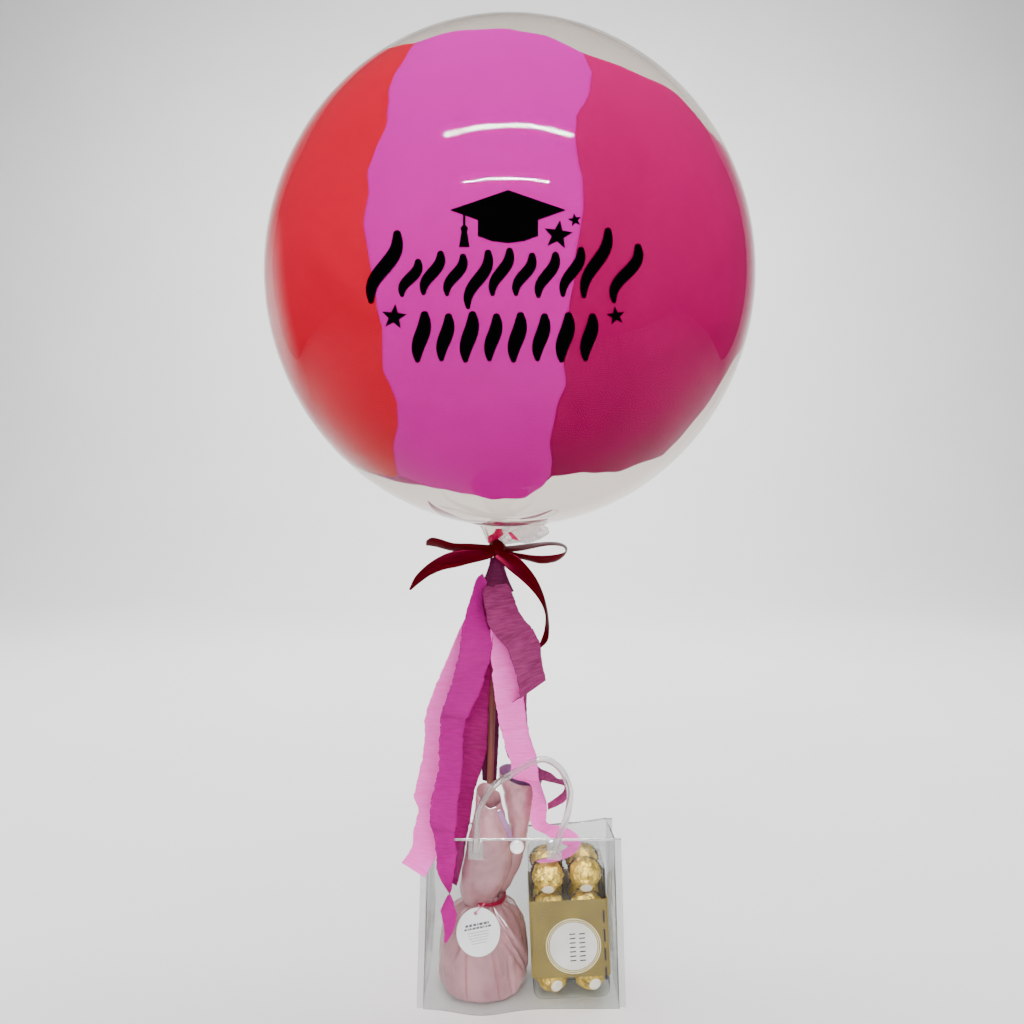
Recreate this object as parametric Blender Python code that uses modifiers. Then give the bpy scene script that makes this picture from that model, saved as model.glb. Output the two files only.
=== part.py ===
"""A clear bubble balloon on a stick, with its bow, crepe streamers, wrapped foot and clear gift bag.

Metres, +Z up, the camera's side is -Y. The origin is on the floor, under the bubble's centre.
"""

import math

import bmesh
import bpy
from mathutils import Matrix, Vector

# Clearance between pieces that touch
GAP = 0.0003

# Bubble and its neck
BUBBLE_RADIUS = 0.2286
TIE_HEIGHT = 0.4225
NECK_LENGTH = 0.0179
TIE_RADIUS = 0.0063
FUNNEL_RADIUS = 0.042
TAIL_LENGTH = 0.012
TAIL_WALL = 0.0012
NECK_FLUTES = 10
NECK_FLUTE_DEPTH = 0.10
TUFT_REACH = 0.030

# Stick
STICK_RADIUS = 0.0032
STICK_FOOT_HEIGHT = 0.030
STICK_GRIP = 0.009
STICK_TOP_XY = (-0.0126, 0.0)
STICK_FOOT_XY = (-0.0242, -0.0040)

# Ribbon bow
RIBBON_WIDTH = 0.012
RIBBON_THICKNESS = 0.0009
BOW_RING_HEIGHT = 0.009
BOW_RING_WALL = 0.0022
BOW_KNOT_SIZE = (0.014, 0.010, 0.015)
BOW_KNOT_DROP = 0.0025

# Crepe paper
CREPE_WIDTH = 0.031
CREPE_THICKNESS = 0.0007
WRAP_LENGTH = 0.040
WRAP_TOP_RADIUS = 0.0062
WRAP_BOTTOM_RADIUS = 0.0172
WRAP_FLUTES = 6
WRAP_FLUTE_DEPTH = 0.06

# Wrapped foot
FOOT_CENTRE_XY = (-0.0257, -0.0040)
FOOT_RADIUS = 0.0438
FOOT_HEIGHT = 0.083
FOOT_NECK_RADIUS = 0.0165
FOOT_PLEATS = 9
FOOT_PLEAT_DEPTH = 0.028
COLLAR_HEIGHT = 0.108
COLLAR_RADIUS = 0.0265
COLLAR_LEAN = 0.0149
COLLAR_WALL = 0.0012
COLLAR_PROFILE = ((0.20, 0.92), (0.42, 0.98), (0.72, 1.00), (1.00, 1.04))
COLLAR_LOBE_DEPTH = 0.10
COLLAR_REAR_RISE = 0.0140
COLLAR_WAVE = 0.0054
NECK_PLEAT_SHARE = 1.5
FOOT_TIE_RADIUS = 0.0012

# Tag
TAG_RADIUS = 0.020
TAG_THICKNESS = 0.0008
TAG_HOLE_RADIUS = 0.0016
TAG_HOLE_INSET = 0.0045
TAG_BESIDE_FOOT = -0.0033
TAG_SET_BACK = 0.0065
TAG_BELOW_NECK = 0.014
TAG_LEAN = math.radians(20)
TAG_ROLL = math.radians(-10)
TAG_LOOP_RADIUS = 0.0005

# Clear bag, made to hold the foot and the sweets box side by side
BAG_LEFT_ROOM = 0.0088
BAG_RIGHT_ROOM = 0.0063
BAG_MIDDLE_ROOM = 0.0029
BAG_DEPTH_ROOM = 0.0024
BAG_TAPER = 0.007
BAG_HEIGHT = 0.1525
BAG_BACK_DROP = 0.0065
BAG_BACK_SAG = 0.008
BAG_FILM = 0.0005
BAG_FRONT_LEAN = 0.0085
BAG_BACK_LEAN = 0.0195
BAG_BULGE_ROOM = 0.0055
BAG_BULGE_REACH = 0.032
FIN_WIDTH = 0.006
FIN_THICKNESS = 0.0009

# Handle, welds and press button
HANDLE_TUBE_RADIUS = 0.0031
HANDLE_SPAN = 0.0725
HANDLE_RISE = 0.085
WELD_SIZE = (0.014, 0.0012, 0.018)
WELD_BELOW_RIM = 0.010
HANDLE_CENTRE_X = 0.0048
SNAP_RADIUS = 0.0065
SNAP_THICKNESS = 0.0024
SNAP_BELOW_RIM = 0.0075
SNAP_X = 0.0066

# Sweets in their paper cups, and the clear box round them
SWEET_RADIUS = 0.0138
SWEET_COLUMNS = 2
SWEET_ROWS = 4
SWEET_LAYERS = 2
SWEET_ROOM = (0.0065, 0.0002, 0.00225)
CUP_WALL = 0.0004
CUP_DEPTH = 0.011
CUP_FOOT_RADIUS = 0.0098
BOX_WALL = 0.0005
BOX_CORNER = 0.009
BOX_BEHIND_FRONT = 0.0009
BOX_ROLL = math.radians(-2.5)
BAND_WALL = 0.0005
BAND_BOTTOM = 0.022
BAND_HEIGHT = 0.071

# What follows from the sizes above
BUBBLE_CENTRE = Vector((0.0, 0.0, TIE_HEIGHT + NECK_LENGTH + BUBBLE_RADIUS))
STICK_BORE = STICK_RADIUS + GAP
WRAP_BOTTOM = TIE_HEIGHT - TAIL_LENGTH - GAP - WRAP_LENGTH
INSIDE_BAG_FLOOR = BAG_FILM + GAP
FOOT_REACH = FOOT_RADIUS * (1 + FOOT_PLEAT_DEPTH)
CUP_REACH = SWEET_RADIUS + GAP + CUP_WALL
BOX_SIZE = (
    2 * BOX_WALL + SWEET_COLUMNS * (2 * CUP_REACH + SWEET_ROOM[0]),
    2 * BOX_WALL + SWEET_LAYERS * (2 * CUP_REACH + SWEET_ROOM[1]),
    2 * BOX_WALL + SWEET_ROWS * (2 * CUP_REACH + SWEET_ROOM[2]),
)
BOX_LEFT_X = FOOT_CENTRE_XY[0] + FOOT_REACH + BAG_MIDDLE_ROOM
BAG_LEFT_X = FOOT_CENTRE_XY[0] - FOOT_REACH - BAG_LEFT_ROOM
BAG_RIGHT_X = BOX_LEFT_X + BOX_SIZE[0] + BAG_RIGHT_ROOM
BAG_WIDTH = BAG_RIGHT_X - BAG_LEFT_X
BAG_CENTRE_X = (BAG_LEFT_X + BAG_RIGHT_X) / 2
BAG_DEPTH = 2 * FOOT_RADIUS + BAG_DEPTH_ROOM
BAG_BULGE = FOOT_REACH - FOOT_CENTRE_XY[1] - BAG_DEPTH / 2 + BAG_BULGE_ROOM


def clear_scene():
    for old in list(bpy.data.objects):
        bpy.data.objects.remove(old, do_unlink=True)


def make_collection(name):
    collection = bpy.data.collections.new(name)
    bpy.context.scene.collection.children.link(collection)
    return collection


def make_material(name, colour, roughness, transmission=0.0):
    material = bpy.data.materials.new(name)
    material.use_nodes = True
    shader = material.node_tree.nodes["Principled BSDF"]
    shader.inputs["Base Color"].default_value = (*colour, 1.0)
    shader.inputs["Roughness"].default_value = roughness
    shader.inputs["Metallic"].default_value = 0.0
    shader.inputs["Transmission Weight"].default_value = transmission
    return material


def add_object(name, data, material):
    data.materials.clear()
    data.materials.append(material)
    made = bpy.data.objects.new(name, data)
    PARTS.objects.link(made)
    return made


def mesh_from(name, bm, smooth=True):
    bmesh.ops.recalc_face_normals(bm, faces=bm.faces)
    mesh = bpy.data.meshes.new(name)
    bm.to_mesh(mesh)
    bm.free()
    if smooth:
        mesh.shade_smooth()
        mesh.set_sharp_from_angle(angle=math.radians(40))
    return mesh


def hide_as_cutter(cutter):
    PARTS.objects.unlink(cutter)
    CUTTERS.objects.link(cutter)
    cutter.hide_render = True
    cutter.display_type = "WIRE"


def join_to(target, other):
    """Unites the other object with the target, through a Boolean that stays on the target."""
    boolean = target.modifiers.new("join " + other.name, "BOOLEAN")
    boolean.operation = "UNION"
    boolean.solver = "EXACT"
    boolean.object = other
    hide_as_cutter(other)


def thicken(made, thickness, offset):
    """Gives an open surface its thickness: offset 0 is centred, 1 and -1 are to one side of it."""
    solidify = made.modifiers.new("thickness", "SOLIDIFY")
    solidify.thickness = thickness
    solidify.offset = offset
    solidify.use_even_offset = True


def between(start, end, share):
    return start + (end - start) * share


def catmull_rom(before, start, end, after, share):
    """A number a share of the way from start to end, on a smooth curve through all four."""
    slope = end - before
    bend = 2 * before - 5 * start + 4 * end - after
    turn = 3 * start - before - 3 * end + after
    return 0.5 * (2 * start + slope * share + bend * share**2 + turn * share**3)


def smooth_rows(rows, steps):
    """Rows of numbers along a smooth curve through the given rows, with steps rows for each span."""
    padded = [rows[0]] + list(rows) + [rows[-1]]
    result = []
    for index in range(1, len(padded) - 2):
        near = padded[index - 1 : index + 3]
        for step in range(steps):
            result.append([catmull_rom(*values, step / steps) for values in zip(*near)])
    result.append(list(rows[-1]))
    return result


def stick_xy(height):
    """Where the leaning stick's axis is at a height."""
    share = (height - STICK_FOOT_HEIGHT) / (TIE_HEIGHT - STICK_FOOT_HEIGHT)
    return Vector(STICK_FOOT_XY).lerp(Vector(STICK_TOP_XY), share)


def turned_form(stations, segments, place):
    """A closed form from a sphere's rings: place(angle, station) gives the points of each ring."""
    bm = bmesh.new()
    rings = len(stations) - 1
    bmesh.ops.create_uvsphere(bm, u_segments=segments, v_segments=rings, radius=1.0)
    for vert in bm.verts:
        polar = math.acos(max(-1.0, min(1.0, vert.co.z)))
        index = round(polar / math.pi * rings)
        angle = math.atan2(vert.co.y, vert.co.x)
        vert.co = place(angle, stations[index])
    return bm


# Bubble


def bubble_stations():
    """Each ring's radius, height, flute share, tuft share, and share of the way to the neck's axis."""
    funnel_angle = math.pi - math.asin(FUNNEL_RADIUS / BUBBLE_RADIUS)
    sphere_rings = 17
    stations = []
    for ring in range(sphere_rings + 1):
        angle = funnel_angle * ring / sphere_rings
        height = BUBBLE_CENTRE.z + BUBBLE_RADIUS * math.cos(angle)
        stations.append((BUBBLE_RADIUS * math.sin(angle), height, 0.0, 0.0, 0.0))
    tail_radius = STICK_BORE + TAIL_WALL
    tail_end = TIE_HEIGHT - TAIL_LENGTH
    bore_top = TIE_HEIGHT + STICK_GRIP + GAP
    stations += [
        (FUNNEL_RADIUS * 0.72, TIE_HEIGHT + NECK_LENGTH * 0.92, 0.3, 0.45, 0.15),
        (FUNNEL_RADIUS * 0.45, TIE_HEIGHT + NECK_LENGTH * 0.60, 0.8, 0.95, 0.55),
        (FUNNEL_RADIUS * 0.29, TIE_HEIGHT + NECK_LENGTH * 0.37, 1.0, 1.0, 0.85),
        (FUNNEL_RADIUS * 0.20, TIE_HEIGHT + NECK_LENGTH * 0.27, 1.0, 0.12, 1.0),
        (TIE_RADIUS, TIE_HEIGHT, 0.6, 0.0, 1.0),
        (tail_radius, TIE_HEIGHT - TAIL_LENGTH * 0.5, 0.0, 0.0, 1.0),
        (tail_radius, tail_end, 0.0, 0.0, 1.0),
        (STICK_BORE, tail_end, 0.0, 0.0, 1.0),
        (STICK_BORE, bore_top, 0.0, 0.0, 1.0),
        (0.0, bore_top, 0.0, 0.0, 1.0),
    ]
    return stations


def place_on_bubble(angle, station):
    radius, height, flute, tuft, shift = station
    side_lobe = max(0.0, math.cos(angle)) ** 6
    flutes = 1 + NECK_FLUTE_DEPTH * flute * math.cos(NECK_FLUTES * angle)
    reach = radius * flutes + TUFT_REACH * tuft * side_lobe
    axis = stick_xy(height) * shift
    return Vector((axis.x + reach * math.cos(angle), axis.y + reach * math.sin(angle), height))


def make_bubble(material):
    bm = turned_form(bubble_stations(), 36, place_on_bubble)
    return add_object("clear_bubble", mesh_from("clear_bubble", bm), material)


def make_stick(material):
    foot = Vector((*STICK_FOOT_XY, STICK_FOOT_HEIGHT + GAP))
    top = Vector((*stick_xy(TIE_HEIGHT + STICK_GRIP), TIE_HEIGHT + STICK_GRIP))
    length = (top - foot).length
    radius = STICK_RADIUS
    bm = bmesh.new()
    bmesh.ops.create_cone(bm, cap_ends=True, segments=20, radius1=radius, radius2=radius, depth=length)
    made = add_object("support_stick", mesh_from("support_stick", bm), material)
    made.location = (foot + top) / 2
    made.rotation_mode = "QUATERNION"
    made.rotation_quaternion = Vector((0, 0, 1)).rotation_difference(top - foot)
    return made


# Ribbons and streamers


def strip_mesh(name, rows, width, reference):
    """A ribbon's surface. A row is x, y, z, turn in degrees and share of the width.

    The width runs along the reference direction, turned about the ribbon's own path.
    """
    bm = bmesh.new()
    spans = len(rows) - 1
    bmesh.ops.create_grid(bm, x_segments=spans, y_segments=1, size=1.0)
    points = [Vector(row[:3]) for row in rows]
    for vert in bm.verts:
        index = round((vert.co.x + 1) / 2 * spans)
        across = vert.co.y / 2
        ahead = points[min(index + 1, spans)] - points[max(index - 1, 0)]
        path = ahead.normalized()
        side = (reference - path * reference.dot(path)).normalized()
        side = Matrix.Rotation(math.radians(rows[index][3]), 3, path) @ side
        vert.co = points[index] + side * across * width * rows[index][4]
    return mesh_from(name, bm)


def make_strip(name, rows, steps, width, thickness, reference, material):
    mesh = strip_mesh(name, smooth_rows(rows, steps), width, reference)
    made = add_object(name, mesh, material)
    thicken(made, thickness, 0.0)
    return made


def from_tie(side, front, rise):
    """A point measured from the tie: to the right, towards the camera's side as -Y, and up."""
    return (STICK_TOP_XY[0] + side, STICK_TOP_XY[1] + front, TIE_HEIGHT + rise)


def bow_rows(rows):
    return [(*from_tie(*row[:3]), row[3], row[4]) for row in rows]


def make_bow_ring(material):
    """The turn of ribbon round the neck, as an open tube with the ribbon's wall."""
    inner = TIE_RADIUS * (1 + NECK_FLUTE_DEPTH) + GAP
    bm = bmesh.new()
    bmesh.ops.create_cone(
        bm,
        cap_ends=False,
        segments=20,
        radius1=inner,
        radius2=inner,
        depth=BOW_RING_HEIGHT,
        matrix=Matrix.Translation(from_tie(0.0, 0.0, -BOW_RING_HEIGHT / 2)),
    )
    ring = add_object("ribbon_bow", mesh_from("ribbon_bow", bm), material)
    thicken(ring, BOW_RING_WALL, 1.0)
    return ring


def make_bow_knot(material):
    bm = bmesh.new()
    width, depth, height = BOW_KNOT_SIZE
    front = -(TIE_RADIUS * (1 + NECK_FLUTE_DEPTH) + GAP + RIBBON_THICKNESS + depth / 2)
    bmesh.ops.create_icosphere(bm, subdivisions=2, radius=0.5)
    bmesh.ops.scale(bm, vec=(width, depth, height), verts=bm.verts)
    bmesh.ops.translate(bm, vec=from_tie(0.0, front, -BOW_KNOT_DROP), verts=bm.verts)
    return add_object("bow_knot", mesh_from("bow_knot", bm), material)


def make_bow(material):
    """The bow as tied: the ring round the neck, the knot, two loops and two tails, all one ribbon."""
    up = Vector((0, 0, 1))
    bow = make_bow_ring(material)
    join_to(bow, make_bow_knot(material))
    loops_and_tails = {
        "left_loop": [
            (-0.002, -0.0155, -0.0010, 0, 0.75),
            (-0.020, -0.0180, 0.0000, 0, 0.85),
            (-0.042, -0.0185, 0.0005, 0, 0.85),
            (-0.060, -0.0165, 0.0026, 0, 0.80),
            (-0.0675, -0.0120, 0.0030, 0, 0.76),
            (-0.062, -0.0075, 0.0022, 0, 0.72),
            (-0.040, -0.0085, 0.0005, 0, 0.66),
            (-0.018, -0.0095, -0.0010, 0, 0.72),
            (-0.004, -0.0110, -0.0020, 0, 0.75),
        ],
        "left_tail": [
            (-0.001, -0.0160, -0.0040, 0, 0.75),
            (-0.018, -0.0215, -0.0090, 0, 1.1),
            (-0.038, -0.0230, -0.0135, 0, 1.0),
            (-0.058, -0.0230, -0.0190, 0, 0.95),
            (-0.073, -0.0225, -0.0290, 0, 0.72),
            (-0.084, -0.0220, -0.0425, 0, 0.14),
        ],
        "right_loop": [
            (0.002, -0.0150, 0.0010, 50, 0.75),
            (0.020, -0.0120, -0.0010, 62, 0.9),
            (0.038, -0.0100, 0.0020, 66, 1.0),
            (0.056, -0.0095, 0.0022, 62, 1.0),
            (0.0665, -0.0120, -0.0022, 30, 1.0),
            (0.058, -0.0175, -0.0100, -28, 0.95),
            (0.042, -0.0190, -0.0125, -30, 0.95),
            (0.022, -0.0175, -0.0100, -30, 0.9),
            (0.003, -0.0155, -0.0050, -30, 0.75),
        ],
        "right_tail": [
            (0.001, -0.0165, -0.0060, 0, 0.75),
            (0.014, -0.0220, -0.0150, 0, 0.95),
            (0.027, -0.0235, -0.0270, 0, 1.0),
            (0.038, -0.0240, -0.0420, 10, 0.95),
            (0.0455, -0.0235, -0.0570, 45, 0.8),
            (0.0480, -0.0230, -0.0680, 80, 0.7),
            (0.0488, -0.0230, -0.0800, 55, 0.7),
            (0.0460, -0.0230, -0.0900, 45, 0.6),
            (0.0385, -0.0230, -0.0990, 40, 0.14),
        ],
    }
    for name, rows in loops_and_tails.items():
        strip = make_strip(name, bow_rows(rows), 2, RIBBON_WIDTH, RIBBON_THICKNESS, up, material)
        join_to(bow, strip)
    return bow


def wrap_radius(share):
    return between(WRAP_TOP_RADIUS, WRAP_BOTTOM_RADIUS, share**1.6)


def make_wrap(material):
    """The gathered crepe under the bow: a fluted cone open at both ends."""
    bm = bmesh.new()
    bmesh.ops.create_grid(bm, x_segments=24, y_segments=3, size=1.0)
    for vert in bm.verts:
        angle = (vert.co.x + 1) * math.pi
        share = (1 - vert.co.y) / 2
        height = WRAP_BOTTOM + WRAP_LENGTH * (1 - share)
        radius = wrap_radius(share) * (1 + WRAP_FLUTE_DEPTH * share * math.cos(WRAP_FLUTES * angle))
        axis = stick_xy(height)
        vert.co = Vector((axis.x + radius * math.cos(angle), axis.y + radius * math.sin(angle), height))
    bmesh.ops.remove_doubles(bm, verts=bm.verts, dist=0.00001)
    wrap = add_object("crepe_wrap", mesh_from("crepe_wrap", bm), material)
    thicken(wrap, CREPE_THICKNESS, 0.0)
    return wrap


def hanging(rows):
    """Rows measured down from the wrap: right of the tie, behind it, down, turn and share of the width."""
    placed = []
    for side, back, drop, turn, share in rows:
        placed.append((*from_tie(side, back, WRAP_BOTTOM - TIE_HEIGHT - drop), turn, share))
    return placed


def before_bag(rows):
    """Rows at the bag: from its middle, ahead of its front panel, above its rim, turn, width share."""
    placed = []
    for beside, ahead, above, turn, share in rows:
        x = BAG_CENTRE_X + beside
        height = BAG_HEIGHT + above
        placed.append((x, bag_front(x, height) - ahead, height, turn, share))
    return placed


def over_box(rows):
    """Rows over the sweets box: share of its width and of its depth, above its lid, turn, width share."""
    placed = []
    for across, back, above, turn, share in rows:
        corner = Vector((BOX_SIZE[0] * across, BOX_SIZE[1] * back, BOX_SIZE[2] + above))
        placed.append((*(box_matrix() @ corner), turn, share))
    return placed


def streamer_rows():
    return {
        "streamer_pale_left": hanging(
            [
                (-0.0125, 0.0010, 0.0032, 0, 0.40),
                (-0.0239, -0.0020, 0.0217, 0, 0.80),
                (-0.0300, -0.0040, 0.0407, 0, 0.90),
                (-0.0414, -0.0070, 0.0690, 0, 0.90),
                (-0.0485, -0.0110, 0.0877, 0, 0.89),
                (-0.0531, -0.0200, 0.1070, 0, 0.88),
                (-0.0562, -0.0330, 0.1361, 0, 0.82),
            ]
        )
        + before_bag(
            [
                (-0.0835, 0.0060, 0.0555, 0, 0.84),
                (-0.0863, 0.0060, 0.0275, 0, 0.84),
                (-0.0861, 0.0045, 0.0095, 0, 0.80),
                (-0.0905, 0.0060, -0.0045, 0, 0.84),
                (-0.0955, 0.0045, -0.0225, 0, 0.84),
            ]
        ),
        "streamer_fuchsia": hanging(
            [
                (-0.0120, -0.0135, 0.0012, 0, 0.55),
                (-0.0180, -0.0200, 0.0217, 0, 0.88),
                (-0.0190, -0.0250, 0.0407, 0, 0.98),
                (-0.0247, -0.0300, 0.0666, 0, 1.00),
                (-0.0382, -0.0380, 0.1042, 0, 0.93),
                (-0.0410, -0.0430, 0.1257, 0, 0.72),
                (-0.0422, -0.0460, 0.1515, 0, 0.68),
            ]
        )
        + before_bag(
            [
                (-0.0705, 0.0115, 0.0355, 0, 0.76),
                (-0.0725, 0.0105, 0.0175, 0, 0.74),
                (-0.0700, 0.0090, -0.0085, 0, 0.62),
                (-0.0683, 0.0080, -0.0275, 0, 0.44),
                (-0.0668, 0.0070, -0.0395, 0, 0.16),
                (-0.0662, 0.0060, -0.0575, 0, 0.48),
                (-0.0660, 0.0055, -0.0725, 0, 0.34),
                (-0.0692, 0.0050, -0.0885, 0, 0.10),
            ]
        ),
        "streamer_magenta": hanging(
            [
                (-0.0060, -0.0065, 0.0032, 0, 0.35),
                (-0.0150, -0.0095, 0.0388, 0, 0.80),
                (-0.0185, -0.0115, 0.0709, 0, 0.93),
                (-0.0205, -0.0130, 0.0945, 0, 0.93),
                (-0.0236, -0.0150, 0.1179, 0, 0.93),
                (-0.0264, -0.0170, 0.1469, 0, 0.93),
                (-0.0340, -0.0190, 0.1732, 0, 0.70),
                (-0.0395, -0.0200, 0.2004, 0, 0.46),
                (-0.0430, -0.0200, 0.2237, 0, 0.34),
                (-0.0450, -0.0200, 0.2467, 0, 0.26),
                (-0.0450, -0.0200, 0.2707, 0, 0.16),
            ]
        ),
        "streamer_mauve": hanging(
            [
                (0.0045, -0.0180, 0.0012, 0, 0.80),
                (0.0080, -0.0215, 0.0127, 0, 0.92),
                (0.0174, -0.0260, 0.0296, 0, 0.95),
                (0.0255, -0.0290, 0.0462, 0, 0.98),
                (0.0325, -0.0290, 0.0651, 0, 0.98),
                (0.0348, -0.0240, 0.0777, 0, 0.80),
                (0.0358, -0.0130, 0.0877, 0, 0.70),
                (0.0300, -0.0040, 0.0997, 0, 0.75),
                (0.0233, -0.0030, 0.1317, 0, 0.80),
                (0.0330, -0.0030, 0.1587, 20, 0.70),
                (0.0465, -0.0050, 0.1697, 60, 0.60),
                (0.0600, -0.0090, 0.1742, 75, 0.50),
                (0.0665, -0.0130, 0.1807, 70, 0.50),
                (0.0590, -0.0130, 0.1917, 60, 0.50),
                (0.0500, -0.0090, 0.1997, 60, 0.40),
            ]
        ),
        "streamer_pale_right": hanging(
            [
                (0.0045, -0.0080, 0.0032, 0, 0.35),
                (0.0045, -0.0140, 0.0327, 0, 0.60),
                (0.0051, -0.0175, 0.0620, 0, 0.75),
                (0.0100, -0.0205, 0.0847, 0, 0.82),
                (0.0153, -0.0225, 0.1083, 0, 0.86),
                (0.0219, -0.0250, 0.1389, 0, 0.80),
                (0.0290, -0.0260, 0.1617, 0, 0.76),
                (0.0388, -0.0230, 0.1847, 0, 0.52),
                (0.0402, -0.0120, 0.2037, 0, 0.44),
            ]
        )
        + over_box(
            [
                (0.24, 0.66, 0.0200, 0, 0.40),
                (0.38, 0.62, 0.0150, 0, 0.42),
                (0.55, 0.50, 0.0105, 0, 0.44),
                (0.58, 0.36, 0.0070, 0, 0.44),
                (0.46, 0.22, 0.0040, 0, 0.42),
                (0.30, 0.07, 0.0020, 0, 0.30),
            ]
        ),
        "streamer_plum": hanging(
            [
                (0.0000, 0.0085, 0.0032, 0, 0.45),
                (-0.0032, 0.0100, 0.0515, 0, 0.70),
                (-0.0061, 0.0105, 0.1009, 0, 0.75),
                (-0.0081, 0.0100, 0.1402, 0, 0.70),
                (-0.0105, 0.0085, 0.1657, 0, 0.60),
            ]
        ),
    }


# Wrapped foot


def foot_stations():
    """Each ring's radius, height, pleat share, share of the collar's rise, and x from the foot's centre."""
    neck_shift = stick_xy(FOOT_HEIGHT).x - FOOT_CENTRE_XY[0]
    inner_floor = FOOT_HEIGHT + COLLAR_HEIGHT * 0.08
    body = [
        (0.0, INSIDE_BAG_FLOOR, 0.0, 0.0, 0.0),
        (FOOT_RADIUS * 0.55, INSIDE_BAG_FLOOR, 0.0, 0.0, 0.0),
        (FOOT_RADIUS * 0.86, INSIDE_BAG_FLOOR + 0.001, 0.6, 0.0, 0.0),
        (FOOT_RADIUS * 0.97, FOOT_HEIGHT * 0.12, 1.0, 0.0, 0.0),
        (FOOT_RADIUS, FOOT_HEIGHT * 0.30, 1.0, 0.0, 0.0),
        (FOOT_RADIUS * 0.97, FOOT_HEIGHT * 0.54, 1.0, 0.0, 0.0),
        (FOOT_RADIUS * 0.86, FOOT_HEIGHT * 0.75, 1.2, 0.0, 0.0),
        (FOOT_RADIUS * 0.66, FOOT_HEIGHT * 0.89, 1.8, 0.0, neck_shift * 0.5),
        (FOOT_NECK_RADIUS * 1.10, FOOT_HEIGHT - FOOT_TIE_RADIUS * 1.8, 2.2, 0.0, neck_shift),
        (FOOT_NECK_RADIUS, FOOT_HEIGHT - FOOT_TIE_RADIUS, NECK_PLEAT_SHARE, 0.0, neck_shift),
        (FOOT_NECK_RADIUS, FOOT_HEIGHT + FOOT_TIE_RADIUS, NECK_PLEAT_SHARE, 0.0, neck_shift),
        (FOOT_NECK_RADIUS * 1.12, FOOT_HEIGHT + COLLAR_HEIGHT * 0.05, NECK_PLEAT_SHARE, 0.05, neck_shift),
    ]
    outside = [collar_station(rise, fullness, 0.0) for rise, fullness in COLLAR_PROFILE]
    inside = [collar_station(rise, fullness, COLLAR_WALL) for rise, fullness in reversed(COLLAR_PROFILE)]
    bore = [
        (FOOT_NECK_RADIUS * 0.85, inner_floor, 0.6, 0.05, neck_shift),
        (STICK_BORE, inner_floor, 0.0, 0.0, None),
        (STICK_BORE, STICK_FOOT_HEIGHT, 0.0, 0.0, None),
        (0.0, STICK_FOOT_HEIGHT, 0.0, 0.0, None),
    ]
    return (body + outside + inside + bore)[::-1]


def collar_station(rise, fullness, inset):
    """A ring of the open collar at a share of its height, on its outer face or inset to its inner one."""
    pleats = max(0.0, 1.0 - 1.4 * rise)
    neck_shift = stick_xy(FOOT_HEIGHT).x - FOOT_CENTRE_XY[0]
    shift = neck_shift + COLLAR_LEAN * rise**1.2
    return (COLLAR_RADIUS * fullness - inset, FOOT_HEIGHT + COLLAR_HEIGHT * rise, pleats, rise, shift)


def place_on_foot(angle, station):
    radius, height, pleat, rise, shift = station
    pleats = FOOT_PLEAT_DEPTH * pleat * math.cos(FOOT_PLEATS * angle + 0.4)
    lobes = COLLAR_LOBE_DEPTH * rise * math.cos(3 * angle + 2.4)
    reach = radius * (1 + pleats + lobes)
    slope = COLLAR_REAR_RISE * math.sin(angle) + COLLAR_WAVE * math.cos(2 * angle + 0.8)
    rim = slope * rise**1.5
    if shift is None:
        centre = stick_xy(height)
    else:
        centre = Vector((FOOT_CENTRE_XY[0] + shift, FOOT_CENTRE_XY[1]))
    return Vector((centre.x + reach * math.cos(angle), centre.y + reach * math.sin(angle), height + rim))


def make_foot(material):
    bm = turned_form(foot_stations(), 28, place_on_foot)
    return add_object("wrapped_foot", mesh_from("wrapped_foot", bm), material)


def foot_tie_centre():
    return Vector((stick_xy(FOOT_HEIGHT).x, FOOT_CENTRE_XY[1], FOOT_HEIGHT))


def foot_tie_reach():
    fullest = FOOT_NECK_RADIUS * (1 + FOOT_PLEAT_DEPTH * NECK_PLEAT_SHARE)
    return fullest + GAP + FOOT_TIE_RADIUS


def make_ring(name, centre, ring_radius, tube_radius, material):
    curve = bpy.data.curves.new(name, "CURVE")
    curve.dimensions = "3D"
    curve.bevel_depth = tube_radius
    curve.bevel_resolution = 1
    spline = curve.splines.new("POLY")
    count = 16
    spline.points.add(count - 1)
    for index, point in enumerate(spline.points):
        angle = math.tau * index / count
        point.co = (ring_radius * math.cos(angle), ring_radius * math.sin(angle), 0.0, 1.0)
    spline.use_cyclic_u = True
    made = add_object(name, curve, material)
    made.location = centre
    return made


# Tag


def tag_matrix():
    """The tag's own frame: its face looks to the front and leans back on the foot."""
    upright = Matrix.Rotation(math.radians(90), 4, "X")
    lean = Matrix.Rotation(-TAG_LEAN, 4, "X")
    roll = Matrix.Rotation(TAG_ROLL, 4, "Y")
    centre = (
        FOOT_CENTRE_XY[0] + TAG_BESIDE_FOOT,
        FOOT_CENTRE_XY[1] - FOOT_REACH + TAG_SET_BACK,
        FOOT_HEIGHT - TAG_BELOW_NECK,
    )
    return Matrix.Translation(centre) @ lean @ roll @ upright


def circle_spline(curve, centre, radius, count, clockwise=False):
    spline = curve.splines.new("POLY")
    spline.points.add(count - 1)
    direction = -1 if clockwise else 1
    for index, point in enumerate(spline.points):
        angle = direction * math.tau * index / count
        point.co = (centre[0] + radius * math.cos(angle), centre[1] + radius * math.sin(angle), 0.0, 1.0)
    spline.use_cyclic_u = True


def make_tag(material):
    curve = bpy.data.curves.new("tag", "CURVE")
    curve.dimensions = "2D"
    curve.fill_mode = "BOTH"
    curve.extrude = TAG_THICKNESS / 2
    circle_spline(curve, (0.0, 0.0), TAG_RADIUS, 28)
    circle_spline(curve, (0.0, TAG_RADIUS - TAG_HOLE_INSET), TAG_HOLE_RADIUS, 10, clockwise=True)
    tag = add_object("tag", curve, material)
    tag.matrix_world = tag_matrix()
    return tag


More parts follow.
